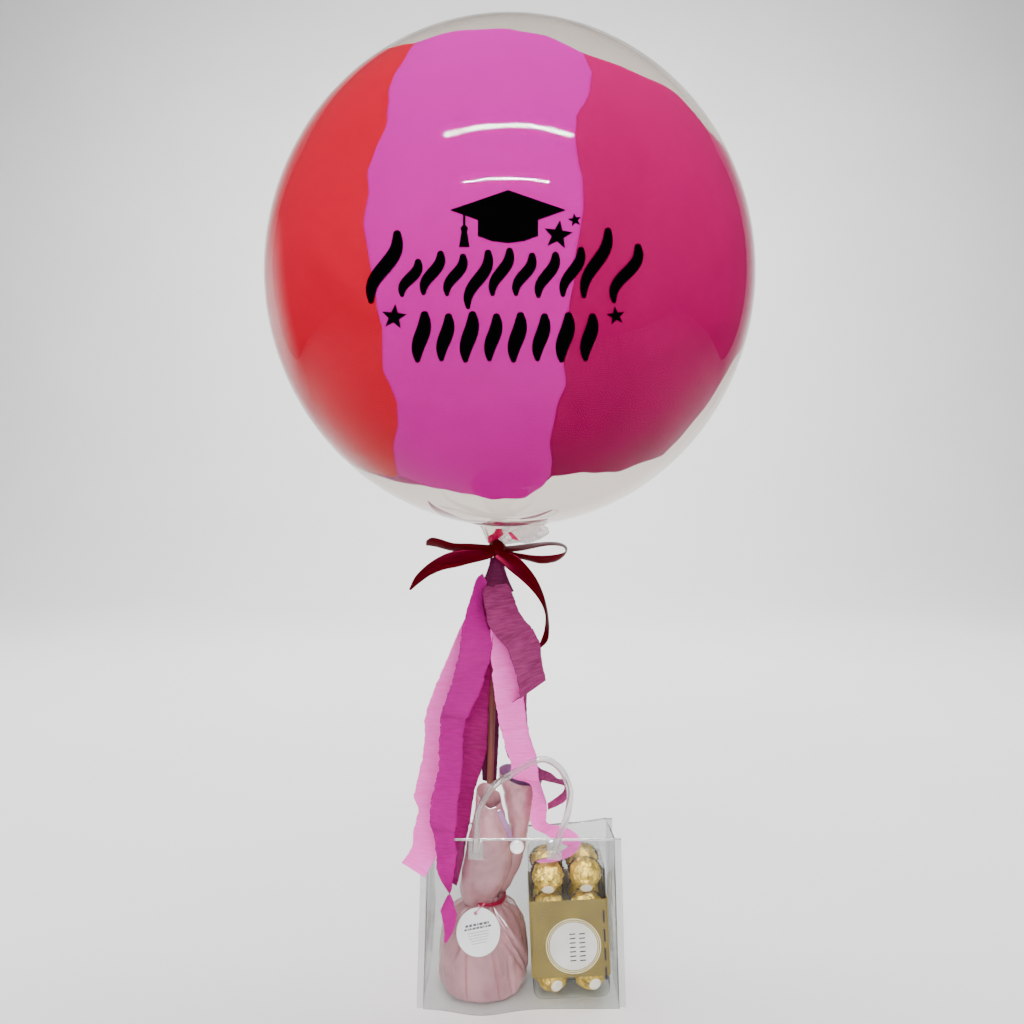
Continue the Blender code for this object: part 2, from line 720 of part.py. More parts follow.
def make_tube(name, points, radius, resolution, material):
    """A bent round rod along a smooth path, with flat ends."""
    curve = bpy.data.curves.new(name, "CURVE")
    curve.dimensions = "3D"
    curve.bevel_depth = radius
    curve.bevel_resolution = resolution
    curve.use_fill_caps = True
    spline = curve.splines.new("POLY")
    spline.points.add(len(points) - 1)
    for point, place in zip(spline.points, points):
        point.co = (*place, 1.0)
    return add_object(name, curve, material)


def make_tag_loop(material):
    """The thread from the foot's tie through the tag's hole."""
    hole = tag_matrix() @ Vector((0.0, TAG_RADIUS - TAG_HOLE_INSET, 0.0))
    normal = (tag_matrix().to_3x3() @ Vector((0.0, 0.0, 1.0))).normalized()
    tie = foot_tie_centre()
    tie_front = tie.y - foot_tie_reach() - FOOT_TIE_RADIUS
    start = Vector((hole.x + 0.002, tie_front - GAP - TAG_LOOP_RADIUS, tie.z))
    behind = hole - normal * 0.003
    before = hole + normal * 0.002
    rows = [tuple(start), tuple(behind), tuple(before)]
    return make_tube("tag_loop", smooth_rows(rows, 3), TAG_LOOP_RADIUS, 1, material)


# Bag


def bag_half_width(height):
    return (BAG_WIDTH - BAG_TAPER * height / BAG_HEIGHT) / 2


def bag_front(x, height):
    """The front panel's outer face: it leans back, and bulges over the wrapped foot."""
    plane = -BAG_DEPTH / 2 + BAG_FRONT_LEAN * min(height, BAG_HEIGHT) / BAG_HEIGHT
    above_foot = (height - FOOT_HEIGHT * 0.80) / (FOOT_HEIGHT * 0.55)
    fade = max(0.0, min(1.0, 1.0 - above_foot))
    beside = (x - FOOT_CENTRE_XY[0]) / BAG_BULGE_REACH
    return plane - BAG_BULGE * fade * math.exp(-(beside**2))


def bag_back(height):
    """The back panel's outer face, which leans forward more and more towards its rim."""
    return BAG_DEPTH / 2 - BAG_BACK_LEAN * (height / BAG_HEIGHT) ** 1.5


def bag_rim(across, back):
    """The rim's height, at a share across the bag (-1 to 1) and a share from its front to its back."""
    return BAG_HEIGHT - back * (BAG_BACK_DROP + BAG_BACK_SAG * (1 - across**2))


def edges_along(bm, axis):
    """The edges that run along an axis, 0 to 2 for X to Z."""
    found = []
    for edge in bm.edges:
        along = (edge.verts[1].co - edge.verts[0].co).normalized()
        if abs(along[axis]) > 0.99:
            found.append(edge)
    return found


def cut_box(bm, axis, cuts):
    bmesh.ops.subdivide_edges(bm, edges=edges_along(bm, axis), cuts=cuts, use_grid_fill=True)


def open_box(axis, end):
    """A unit box without the face at one end of an axis."""
    bm = bmesh.new()
    bmesh.ops.create_cube(bm, size=1.0)
    gone = [face for face in bm.faces if face.normal[axis] * end > 0.9]
    bmesh.ops.delete(bm, geom=gone, context="FACES")
    return bm


def make_fin(side, front, material):
    """One corner's weld: a thin strip standing out sideways along the bag's corner."""
    bm = bmesh.new()
    bmesh.ops.create_cube(bm, size=1.0)
    for vert in bm.verts:
        rim = bag_rim(1.0, 0.0 if front else 1.0)
        height = between(0.0004, rim - 0.0004, vert.co.z + 0.5)
        corner = BAG_CENTRE_X + side * bag_half_width(height)
        inset = BAG_FILM * 0.6
        x = corner + side * between(-inset, FIN_WIDTH, vert.co.x + 0.5)
        edge = bag_front(x, height) if front else bag_back(height)
        inward = 1 if front else -1
        y = edge + inward * (GAP + FIN_THICKNESS * (vert.co.y * inward + 0.5))
        vert.co = Vector((x, y, height))
    name = "fin_" + ("right" if side > 0 else "left") + ("_front" if front else "_back")
    return add_object(name, mesh_from(name, bm, smooth=False), material)


def make_bag(material):
    bm = open_box(2, 1)
    cut_box(bm, 0, 9)
    cut_box(bm, 2, 5)
    cut_box(bm, 1, 3)
    for vert in bm.verts:
        height = bag_rim(2 * vert.co.x, vert.co.y + 0.5) * (vert.co.z + 0.5)
        x = BAG_CENTRE_X + 2 * vert.co.x * bag_half_width(height)
        y = between(bag_front(x, height), bag_back(height), vert.co.y + 0.5)
        vert.co = Vector((x, y, height))
    bag = add_object("bag", mesh_from("bag", bm), material)
    thicken(bag, BAG_FILM, -1.0)
    for side in (-1, 1):
        for front in (True, False):
            join_to(bag, make_fin(side, front, material))
    return bag


def panel_point(x, below_rim, ahead):
    """A point in front of the bag's front panel."""
    height = BAG_HEIGHT - below_rim
    return Vector((x, bag_front(x, height) - ahead, height))


def panel_tilt():
    return Matrix.Rotation(-math.atan(BAG_FRONT_LEAN / BAG_HEIGHT), 4, "X")


def make_weld(name, x, material):
    bm = bmesh.new()
    bmesh.ops.create_cube(bm, size=1.0)
    bmesh.ops.scale(bm, vec=WELD_SIZE, verts=bm.verts)
    weld = add_object(name, mesh_from(name, bm, smooth=False), material)
    centre = panel_point(x, WELD_BELOW_RIM, GAP + WELD_SIZE[1] / 2)
    weld.matrix_world = Matrix.Translation(centre) @ panel_tilt()
    edges = weld.modifiers.new("rounded", "BEVEL")
    edges.width = WELD_SIZE[1] * 0.35
    edges.segments = 1
    return weld


def handle_points():
    """Along the handle: shares of its span and of its rise. The soft arch leans to the right."""
    shares = [
        (0.00, 0.00),
        (0.01, 0.16),
        (0.04, 0.44),
        (0.22, 0.70),
        (0.44, 0.83),
        (0.65, 0.94),
        (0.83, 1.00),
        (0.97, 0.97),
        (1.09, 0.88),
        (1.17, 0.74),
        (1.20, 0.60),
        (1.15, 0.36),
        (1.04, 0.12),
        (1.00, 0.00),
    ]
    ahead = GAP * 2 + WELD_SIZE[1] + HANDLE_TUBE_RADIUS
    left = HANDLE_CENTRE_X - HANDLE_SPAN / 2
    start = panel_point(left, WELD_BELOW_RIM, ahead)
    return [(left + HANDLE_SPAN * along, start.y, start.z + HANDLE_RISE * up) for along, up in shares]


def make_handle(material):
    return make_tube("bag_handle", smooth_rows(handle_points(), 1), HANDLE_TUBE_RADIUS, 2, material)


def make_snap(material):
    """A turned button: its profile runs down the outer side."""
    radius, thickness = SNAP_RADIUS, SNAP_THICKNESS
    profile = [
        (0.0, thickness),
        (radius * 0.75, thickness * 0.95),
        (radius * 0.95, thickness * 0.62),
        (radius, thickness * 0.30),
        (radius, 0.0),
        (0.0, 0.0),
    ]
    mesh = bpy.data.meshes.new("snap_button")
    edges = [(index, index + 1) for index in range(len(profile) - 1)]
    mesh.from_pydata([(x, 0.0, z) for x, z in profile], edges, [])
    snap = add_object("snap_button", mesh, material)
    turn = snap.modifiers.new("turned", "SCREW")
    turn.steps = 16
    turn.render_steps = 16
    turn.use_merge_vertices = True
    turn.merge_threshold = 0.00001
    facing = Matrix.Rotation(math.radians(90), 4, "X")
    snap.matrix_world = Matrix.Translation(panel_point(SNAP_X, SNAP_BELOW_RIM, GAP)) @ panel_tilt() @ facing
    return snap


# Sweets box


def box_matrix():
    """From the box's own corner frame (left, front, bottom) to the world: it leans left on the foot."""
    panel = bag_front(BAG_RIGHT_X, BOX_SIZE[2]) + BAG_FILM
    corner = Vector((BOX_LEFT_X, panel + BOX_BEHIND_FRONT, INSIDE_BAG_FLOOR))
    return Matrix.Translation(corner) @ Matrix.Rotation(BOX_ROLL, 4, "Y")


def make_box_half(name, front, material):
    """Half of the clear box: an open shell with rounded corners, its mouth at the middle of the depth."""
    width, depth, height = BOX_SIZE
    half = depth / 2 - GAP / 2
    bm = open_box(1, 1 if front else -1)
    bmesh.ops.scale(bm, vec=(width, half, height), verts=bm.verts)
    middle = half / 2 if front else depth - half / 2
    bmesh.ops.translate(bm, vec=(width / 2, middle, height / 2), verts=bm.verts)
    long_edges = edges_along(bm, 1)
    bmesh.ops.bevel(bm, geom=long_edges, offset=BOX_CORNER, segments=3, affect="EDGES", profile=0.5)
    face_y = 0.0 if front else depth
    rim = [edge for edge in bm.edges if all(abs(vert.co.y - face_y) < 1e-6 for vert in edge.verts)]
    bmesh.ops.bevel(bm, geom=rim, offset=BOX_CORNER * 0.4, segments=1, affect="EDGES", profile=0.5)
    half_box = add_object(name, mesh_from(name, bm), material)
    half_box.matrix_world = box_matrix()
    thicken(half_box, BOX_WALL, -1.0)
    return half_box


def make_band(material):
    """The card sleeve: a short open tube with rounded corners round the box."""
    width, depth, height = BOX_SIZE
    bm = open_box(2, 1)
    bottom = [face for face in bm.faces if face.normal.z < -0.9]
    bmesh.ops.delete(bm, geom=bottom, context="FACES_ONLY")
    bmesh.ops.scale(bm, vec=(width + 2 * GAP, depth + 2 * GAP, BAND_HEIGHT), verts=bm.verts)
    bmesh.ops.translate(bm, vec=(width / 2, depth / 2, BAND_BOTTOM + BAND_HEIGHT / 2), verts=bm.verts)
    upright = edges_along(bm, 2)
    bmesh.ops.bevel(bm, geom=upright, offset=BOX_CORNER * 0.3, segments=2, affect="EDGES", profile=0.5)
    band = add_object("box_band", mesh_from("box_band", bm), material)
    band.matrix_world = box_matrix()
    thicken(band, BAND_WALL, 1.0)
    return band


def sweet_places():
    """The sweets' centres in the box's own frame, one to a cell of its inside."""
    cell = [2 * CUP_REACH + room for room in SWEET_ROOM]
    places = []
    for layer in range(SWEET_LAYERS):
        for row in range(SWEET_ROWS):
            for column in range(SWEET_COLUMNS):
                x = BOX_WALL + cell[0] * (column + 0.5)
                y = BOX_WALL + cell[1] * (layer + 0.5)
                z = BOX_WALL + cell[2] * (row + 0.5)
                places.append(Vector((x, y, z)))
    return places


def ball_mesh():
    bm = bmesh.new()
    bmesh.ops.create_icosphere(bm, subdivisions=2, radius=SWEET_RADIUS)
    return mesh_from("sweet", bm)


def cup_mesh():
    """A paper cup: an open cone with a flat foot, its mouth towards -Y, round the ball's back."""
    foot_back = SWEET_RADIUS + GAP
    foot, mouth = CUP_FOOT_RADIUS, CUP_REACH
    bm = bmesh.new()
    bmesh.ops.create_cone(bm, cap_ends=True, segments=9, radius1=foot, radius2=mouth, depth=CUP_DEPTH)
    top = [face for face in bm.faces if face.normal.z > 0.9]
    bmesh.ops.delete(bm, geom=top, context="FACES")
    bmesh.ops.translate(bm, vec=(0, 0, CUP_DEPTH / 2 - foot_back), verts=bm.verts)
    bmesh.ops.rotate(bm, cent=(0, 0, 0), matrix=Matrix.Rotation(math.radians(90), 3, "X"), verts=bm.verts)
    return mesh_from("cup", bm)


def make_sweets(foil, paper):
    ball = ball_mesh()
    cup = cup_mesh()
    for number, place in enumerate(sweet_places(), start=1):
        sweet = add_object(f"sweet_{number:02d}", ball, foil)
        sweet.matrix_world = box_matrix() @ Matrix.Translation(place)
        holder = add_object(f"cup_{number:02d}", cup, paper)
        holder.matrix_world = box_matrix() @ Matrix.Translation(place)
        thicken(holder, CUP_WALL, 1.0)


def make_streamers(materials):
    sideways = Vector((1, 0, 0))
    for name, rows in streamer_rows().items():
        make_strip(name, rows, 2, CREPE_WIDTH, CREPE_THICKNESS, sideways, materials[name])


def build():
    film = make_material("clear film", (0.93, 0.92, 0.93), 0.05, transmission=0.9)
    wood = make_material("stick wood", (0.45, 0.27, 0.14), 0.6)
    satin = make_material("dark red satin", (0.16, 0.0, 0.01), 0.35)
    paper = make_material("dusty pink paper", (0.62, 0.33, 0.38), 0.3)
    white = make_material("white card", (0.88, 0.88, 0.88), 0.6)
    gold_card = make_material("gold card", (0.45, 0.36, 0.05), 0.35)
    foil = make_material("gold foil", (0.60, 0.44, 0.12), 0.3)
    brown = make_material("brown cup paper", (0.09, 0.04, 0.02), 0.7)
    pale = make_material("pale pink crepe", (0.80, 0.32, 0.55), 0.85)
    fuchsia = make_material("fuchsia crepe", (0.72, 0.0, 0.36), 0.85)
    magenta = make_material("magenta crepe", (0.45, 0.0, 0.16), 0.85)
    mauve = make_material("mauve crepe", (0.52, 0.13, 0.30), 0.85)
    plum = make_material("plum crepe", (0.12, 0.0, 0.04), 0.85)
    make_bubble(film)
    make_stick(wood)
    make_bow(satin)
    make_wrap(plum)
    make_streamers(
        {
            "streamer_pale_left": pale,
            "streamer_fuchsia": fuchsia,
            "streamer_magenta": magenta,
            "streamer_mauve": mauve,
            "streamer_pale_right": pale,
            "streamer_plum": plum,
        }
    )
    make_foot(paper)
    make_ring("foot_tie", foot_tie_centre(), foot_tie_reach(), FOOT_TIE_RADIUS, satin)
    make_tag(white)
    make_tag_loop(pale)
    make_bag(film)
    make_handle(film)
    left = HANDLE_CENTRE_X - HANDLE_SPAN / 2
    make_weld("handle_weld_left", left, film)
    make_weld("handle_weld_right", left + HANDLE_SPAN, film)
    make_snap(white)
    make_box_half("box_lid", True, film)
    make_box_half("box_tray", False, film)
    make_band(gold_card)
    make_sweets(foil, brown)


clear_scene()
PARTS = make_collection("clear_bubble_balloon")
CUTTERS = make_collection("cutters")
build()
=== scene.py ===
"""The looks of a clear bubble balloon on a stick, with its bow, streamers, wrapped foot and gift bag.

Metres, +Z up, and the photograph is taken from -Y. Pixel places are in the photograph's 1024 by 1024 frame.
"""

import math
import random

import bmesh
import bpy
import numpy as np
from mathutils import Matrix, Vector, noise


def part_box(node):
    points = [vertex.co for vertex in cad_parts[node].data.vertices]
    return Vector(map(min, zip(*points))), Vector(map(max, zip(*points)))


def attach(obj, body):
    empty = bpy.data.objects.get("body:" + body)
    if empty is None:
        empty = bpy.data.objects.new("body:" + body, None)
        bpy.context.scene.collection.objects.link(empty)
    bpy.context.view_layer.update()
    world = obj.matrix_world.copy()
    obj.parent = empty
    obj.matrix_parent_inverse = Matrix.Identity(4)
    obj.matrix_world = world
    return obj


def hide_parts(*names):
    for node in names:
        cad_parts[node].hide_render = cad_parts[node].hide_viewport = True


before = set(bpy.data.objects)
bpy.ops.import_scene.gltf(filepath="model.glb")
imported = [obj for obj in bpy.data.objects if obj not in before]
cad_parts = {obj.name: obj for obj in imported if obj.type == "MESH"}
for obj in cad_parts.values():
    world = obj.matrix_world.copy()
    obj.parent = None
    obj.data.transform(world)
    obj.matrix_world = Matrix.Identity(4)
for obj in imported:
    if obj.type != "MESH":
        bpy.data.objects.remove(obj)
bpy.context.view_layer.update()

# Camera, level, from the photograph's perspective
CAMERA = Vector((0.002, -0.732, 0.455))
FOCAL_PX = 750.0
CENTRE_PX = 512.0
SENSOR_MM = 36.0

# Bubble, from its solid's box
BUBBLE_LOW, BUBBLE_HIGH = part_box("clear_bubble")
BUBBLE_RADIUS = (BUBBLE_HIGH[0] - BUBBLE_LOW[0]) / 2
BUBBLE_CENTRE = Vector((0.0, 0.0, BUBBLE_HIGH[2] - BUBBLE_RADIUS))
VINYL_RADIUS = BUBBLE_RADIUS - 0.00015
FILM_RADIUS = BUBBLE_RADIUS - 0.0003
FILM_WALL = 0.0003
PAINT_RADIUS = FILM_RADIUS - FILM_WALL - 0.0002
PAINT_WALL = 0.0001
TIE_HEIGHT = 0.4225
NECK_LENGTH = 0.0179
TIE_XY = (-0.0126, 0.0)
STICK_FOOT_XY = (-0.0242, -0.0040)
STICK_FOOT_HEIGHT = 0.030

# Ribbon and crepe
RIBBON_WIDTH = 0.012
CREPE_WIDTH = 0.031

# Foot, bag and box, as in the CAD
FOOT_CENTRE = Vector((-0.0257, -0.0040, 0.0))
FOOT_HEIGHT = 0.083
BAG_LEFT, BAG_RIGHT = -0.0795, 0.1005
BAG_TAPER = 0.007
BAG_DEPTH = 0.090
BAG_HEIGHT = 0.1525
BAG_FRONT_LEAN = 0.0085
BAG_BACK_LEAN = 0.0195
BAG_BACK_DROP = 0.0065
BAG_BACK_SAG = 0.008
BAG_BULGE = 0.0095
BAG_BULGE_REACH = 0.032
BAG_CENTRE_X = (BAG_LEFT + BAG_RIGHT) / 2
BAG_WIDTH = BAG_RIGHT - BAG_LEFT
BOX_CORNER_AT = Vector((0.0222, -0.0366, 0.0008))
BOX_SIZE = (0.072, 0.0594, 0.126)
BOX_ROLL = math.radians(-2.5)
SWEET_RADIUS = 0.0138
SWEET_CELL = (0.0355, 0.0292, 0.03125)
BOX_WALL = 0.0005


def pixel_ray(u, v):
    return Vector(((u - CENTRE_PX) / FOCAL_PX, 1.0, (CENTRE_PX - v) / FOCAL_PX))


def at_depth(u, v, y):
    """The point that shows at a photo pixel, on the plane at y."""
    return CAMERA + pixel_ray(u, v) * (y - CAMERA.y)


def on_ball(u, v, radius):
    """Where a photo pixel's ray meets the front of a sphere round the bubble, or passes it closest."""
    ray = pixel_ray(u, v)
    start = CAMERA - BUBBLE_CENTRE
    a = ray.dot(ray)
    b = ray.dot(start)
    c = start.dot(start) - radius**2
    reach = (-b - math.sqrt(max(0.0, b * b - a * c))) / a
    return BUBBLE_CENTRE + (start + ray * reach).normalized() * radius


def longitude(point):
    """Degrees round the bubble from its front towards +X."""
    from_centre = point - BUBBLE_CENTRE
    return math.degrees(math.atan2(from_centre.x, -from_centre.y))


def latitude(point):
    """Degrees down from the bubble's top."""
    from_centre = (point - BUBBLE_CENTRE).normalized()
    return math.degrees(math.acos(max(-1.0, min(1.0, from_centre.z))))


def globe(lon, lat, radius):
    """The point at a longitude and a distance down from the top, in degrees."""
    lon, lat = math.radians(lon), math.radians(lat)
    out = Vector((math.sin(lat) * math.sin(lon), -math.sin(lat) * math.cos(lon), math.cos(lat)))
    return BUBBLE_CENTRE + out * radius


# Mesh helpers


def catmull_rom(before, start, end, after, share):
    slope = end - before
    bend = 2 * before - 5 * start + 4 * end - after
    turn = 3 * start - before - 3 * end + after
    return 0.5 * (2 * start + slope * share + bend * share**2 + turn * share**3)


def smooth_rows(rows, steps):
    """Rows of numbers along a smooth curve through the given rows."""
    padded = [rows[0]] + list(rows) + [rows[-1]]
    result = []
    for index in range(1, len(padded) - 2):
        near = padded[index - 1 : index + 3]
        for step in range(steps):
            result.append([catmull_rom(*values, step / steps) for values in zip(*near)])
    result.append(list(rows[-1]))
    return result


def evenly(rows, spacing):
    """The rows again, at even steps along the path that their first three numbers follow."""
    table = np.array(rows, float)
    steps = np.linalg.norm(np.diff(table[:, :3], axis=0), axis=1)
    along = np.concatenate([[0.0], np.cumsum(steps)])
    count = max(2, int(round(along[-1] / spacing)))
    places = np.linspace(0.0, along[-1], count + 1)
    columns = [np.interp(places, along, table[:, column]) for column in range(table.shape[1])]
    return places, np.array(columns).T


def sheet_mesh(name, rows, closed=False, spread=(1.0, 1.0)):
    """A mesh of quads between rows of points. closed joins each row's ends, spread is its UV map's size."""
    count = len(rows[0])
    faces, corners = [], []
    last = count if closed else count - 1
    for i in range(len(rows) - 1):
        for j in range(last):
            k = (j + 1) % count
            faces.append((i * count + j, i * count + k, (i + 1) * count + k, (i + 1) * count + j))
            for row, column in ((i, j), (i, j + 1), (i + 1, j + 1), (i + 1, j)):
                corners.append((spread[0] * column / last, spread[1] * row / (len(rows) - 1)))
    mesh = bpy.data.meshes.new(name)
    mesh.from_pydata([tuple(point) for row in rows for point in row], [], faces)
    uv = mesh.uv_layers.new(name="UVMap")
    uv.data.foreach_set("uv", np.array(corners).ravel())
    return mesh


def clean(mesh, turn=True):
    """Merges points that meet, such as at a pole. turn makes the faces of a closed shape look outward."""
    bm = bmesh.new()
    bm.from_mesh(mesh)
    bmesh.ops.remove_doubles(bm, verts=bm.verts, dist=1e-6)
    bmesh.ops.dissolve_degenerate(bm, edges=bm.edges, dist=1e-7)
    if turn:
        bmesh.ops.recalc_face_normals(bm, faces=bm.faces)
    bm.to_mesh(mesh)
    bm.free()
    return mesh


def link(name, data):
    """A new object in the scene."""
    made = bpy.data.objects.new(name, data)
    bpy.context.scene.collection.objects.link(made)
    return made


def thicken(piece, wall, offset):
    solid = piece.modifiers.new("thickness", "SOLIDIFY")
    solid.thickness = wall
    solid.offset = offset
    solid.use_even_offset = False


def let_light_through(piece):
    """Thin clear film: what is behind it is lit as if the film weren't there."""
    piece.visible_shadow = False
    piece.visible_diffuse = False


def add_piece(name, mesh, material, slot=None, replaces=(), sharp=None, wall=None, offset=0.0, clear=False):
    """Puts a piece in the scene, on the one body. wall makes a sheet solid, and clear is for thin film."""
    mesh.materials.clear()
    mesh.materials.append(material)
    mesh.shade_smooth()
    if sharp is not None:
        mesh.set_sharp_from_angle(angle=math.radians(sharp))
    piece = link(name, mesh)
    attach(piece, "root")
    if replaces:
        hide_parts(*replaces)
    if wall is not None:
        thicken(piece, wall, offset)
    if clear:
        let_light_through(piece)
    return piece


def on_circle(angle, radius=1.0):
    """A point on a level circle."""
    return Vector((radius * math.cos(angle), radius * math.sin(angle), 0.0))


def wobble(seed, *place):
    """Smooth noise between about -1 and 1."""
    x, y, z = (list(place) + [0.0, 0.0])[:3]
    return noise.noise(Vector((x + seed * 7.31, y - seed * 3.17, z + seed * 1.73)))


def crease(seed, point, scale):
    """Crumpled paper's plates and creases: 0 along a crease, up to about 0.5 on a plate."""
    distances, _ = noise.voronoi(point * scale + Vector((seed * 5.1, seed * 2.3, -seed * 4.7)))
    return min(0.5, distances[1] - distances[0])


# Materials


def principled(name, colour, roughness, **sockets):
    material = bpy.data.materials.new(name)
    material.use_nodes = True
    shader = material.node_tree.nodes["Principled BSDF"]
    shader.inputs["Base Color"].default_value = (*colour, 1.0)
    shader.inputs["Roughness"].default_value = roughness
    for socket, value in sockets.items():
        shader.inputs[socket.replace("_", " ")].default_value = value
    return material, shader


def node(material, kind, **values):
    made = material.node_tree.nodes.new("ShaderNode" + kind)
    for key, value in values.items():
        if key in made.inputs:
            made.inputs[key].default_value = value
        else:
            setattr(made, key, value)
    return made


def join(material, source, target):
    material.node_tree.links.new(source, target)


def stretched(material, source, scale):
    """Texture coordinates, scaled on each axis."""
    coordinates = node(material, "TexCoord")
    mapping = node(material, "Mapping")
    mapping.inputs["Scale"].default_value = scale
    join(material, coordinates.outputs[source], mapping.inputs["Vector"])
    return mapping.outputs["Vector"]


def ramp(material, factor, stops):
    made = node(material, "ValToRGB")
    colours = made.color_ramp.elements
    while len(colours) < len(stops):
        colours.new(0.5)
    for element, (place, colour) in zip(colours, stops):
        element.position = place
        element.color = (*colour, 1.0)
    join(material, factor, made.inputs["Fac"])
    return made.outputs["Color"]


def grain(material, source, scale, noise_scale, detail=4.0, rough=0.55):
    texture = node(material, "TexNoise", Scale=noise_scale, Detail=detail, Roughness=rough)
    join(material, stretched(material, source, scale), texture.inputs["Vector"])
    return texture.outputs["Fac"]


def raise_by(material, shader, height, strength, distance):
    bump = node(material, "Bump", Strength=strength, Distance=distance)
    join(material, height, bump.inputs["Height"])
    join(material, bump.outputs["Normal"], shader.inputs["Normal"])


def vary_roughness(material, shader, factor, low, high):
    spread = node(material, "MapRange")
    spread.inputs["To Min"].default_value = low
    spread.inputs["To Max"].default_value = high
    join(material, factor, spread.inputs["Value"])
    join(material, spread.outputs["Result"], shader.inputs["Roughness"])


def film_material(name, colour, roughness, ior, wrinkle_scale, wrinkle, clear=1.0):
    material, shader = principled(name, colour, roughness, Transmission_Weight=clear, IOR=ior)
    height = grain(material, "Object", (1.0, 1.0, 1.0), wrinkle_scale, 3.0)
    raise_by(material, shader, height, wrinkle, 0.001)
    return material


def paint_material(name, stops, seed):
    """The painted layer: a colour that darkens downward as painted shade, with faint marbling."""
    material, shader = principled(name, stops[0][1], 0.32, Specular_IOR_Level=0.0)
    coordinates = node(material, "TexCoord")
    parts = node(material, "SeparateXYZ")
    join(material, coordinates.outputs["Object"], parts.inputs["Vector"])
    # The colour follows height from top to bottom: the darker lower stops are painted shade.
    height = node(material, "MapRange")
    height.inputs["From Min"].default_value = BUBBLE_CENTRE.z + BUBBLE_RADIUS
    height.inputs["From Max"].default_value = BUBBLE_CENTRE.z - BUBBLE_RADIUS
    join(material, parts.outputs["Z"], height.inputs["Value"])
    marble = node(material, "TexNoise", Scale=9.0 + seed, Detail=5.0, Roughness=0.6, Distortion=1.2)
    join(material, coordinates.outputs["Object"], marble.inputs["Vector"])
    shift = node(material, "MapRange")
    shift.inputs["To Min"].default_value = -0.10
    shift.inputs["To Max"].default_value = 0.10
    join(material, marble.outputs["Fac"], shift.inputs["Value"])
    total = node(material, "Math", operation="ADD")
    join(material, height.outputs["Result"], total.inputs[0])
    join(material, shift.outputs["Result"], total.inputs[1])
    join(material, ramp(material, total.outputs["Value"], stops), shader.inputs["Base Color"])
    vary_roughness(material, shader, marble.outputs["Fac"], 0.22, 0.42)
    return material


def satin_material(name, dark, light):
    """Satin ribbon: fine lines along it, and a sheen."""
    looks = dict(Sheen_Weight=0.02, Sheen_Roughness=0.3, Specular_IOR_Level=0.16)
    material, shader = principled(name, dark, 0.34, **looks)
    shader.inputs["Sheen Tint"].default_value = (*light, 1.0)
    shader.inputs["Specular Tint"].default_value = (1.0, 0.04, 0.22, 1.0)
    threads = grain(material, "UV", (1.0, 0.04, 1.0), 900.0, 2.0)
    join(material, ramp(material, threads, [(0.3, dark), (0.75, light)]), shader.inputs["Base Color"])
    raise_by(material, shader, threads, 0.25, 0.0003)
    return material


def crepe_material(name, dark, light):
    """Crepe paper: fine crinkles across the strip, matte, a little light through it."""
    looks = dict(Sheen_Weight=0.08, Sheen_Roughness=0.6, Specular_IOR_Level=0.04)
    material, shader = principled(name, light, 0.85, **looks)
    shader.inputs["Sheen Tint"].default_value = (*light, 1.0)
    ribs = grain(material, "UV", (0.12, 1.0, 1.0), 520.0, 5.0, 0.65)
    cloud = grain(material, "UV", (1.0, 1.0, 1.0), 22.0, 2.0)
    mixed = node(material, "Math", operation="MULTIPLY_ADD")
    mixed.inputs[1].default_value = 0.65
    join(material, ribs, mixed.inputs[0])
    scaled = node(material, "Math", operation="MULTIPLY")
    scaled.inputs[1].default_value = 0.35
    join(material, cloud, scaled.inputs[0])
    join(material, scaled.outputs["Value"], mixed.inputs[2])
    colours = ramp(material, mixed.outputs["Value"], [(0.30, dark), (0.62, light)])
    join(material, colours, shader.inputs["Base Color"])
    raise_by(material, shader, ribs, 0.7, 0.0006)
    return material


def paper_material(name, dark, light, roughness, gloss):
    material, shader = principled(name, light, roughness, Coat_Weight=gloss, Coat_Roughness=0.12)
    cloud = grain(material, "Object", (1.0, 1.0, 1.0), 35.0, 5.0, 0.6)
    fibre = grain(material, "Object", (1.0, 1.0, 1.0), 420.0, 3.0)
    join(material, ramp(material, cloud, [(0.32, dark), (0.65, light)]), shader.inputs["Base Color"])
    vary_roughness(material, shader, cloud, roughness * 0.75, min(1.0, roughness * 1.3))
    raise_by(material, shader, fibre, 0.25, 0.0004)
    return material


def foil_material(name, dark, light):
    material, shader = principled(name, light, 0.30, Metallic=0.45)
    cloud = grain(material, "Object", (1.0, 1.0, 1.0), 160.0, 5.0, 0.7)
    join(material, ramp(material, cloud, [(0.35, dark), (0.60, light)]), shader.inputs["Base Color"])
    vary_roughness(material, shader, cloud, 0.20, 0.42)
    crackle = grain(material, "Object", (1.0, 1.0, 1.0), 330.0, 3.0, 0.6)
    raise_by(material, shader, crackle, 1.0, 0.0022)
    return material


def wood_material():
    material, shader = principled("stick wood", (0.4, 0.25, 0.13), 0.6, Specular_IOR_Level=0.15)
    lines = grain(material, "Object", (1.0, 1.0, 0.03), 900.0, 6.0, 0.7)
    dark, light = (0.07, 0.012, 0.009), (0.22, 0.050, 0.036)
    join(material, ramp(material, lines, [(0.3, dark), (0.7, light)]), shader.inputs["Base Color"])
    raise_by(material, shader, lines, 0.3, 0.0003)
    return material


def plastic_material(name, colour, roughness, coat, specular):
    material, shader = principled(
        name, colour, roughness, Coat_Weight=coat, Coat_Roughness=0.1, Specular_IOR_Level=specular
    )
    cloud = grain(material, "Object", (1.0, 1.0, 1.0), 300.0, 3.0)
    vary_roughness(material, shader, cloud, roughness * 0.8, roughness * 1.3)
    raise_by(material, shader, cloud, 0.05, 0.0003)
    return material


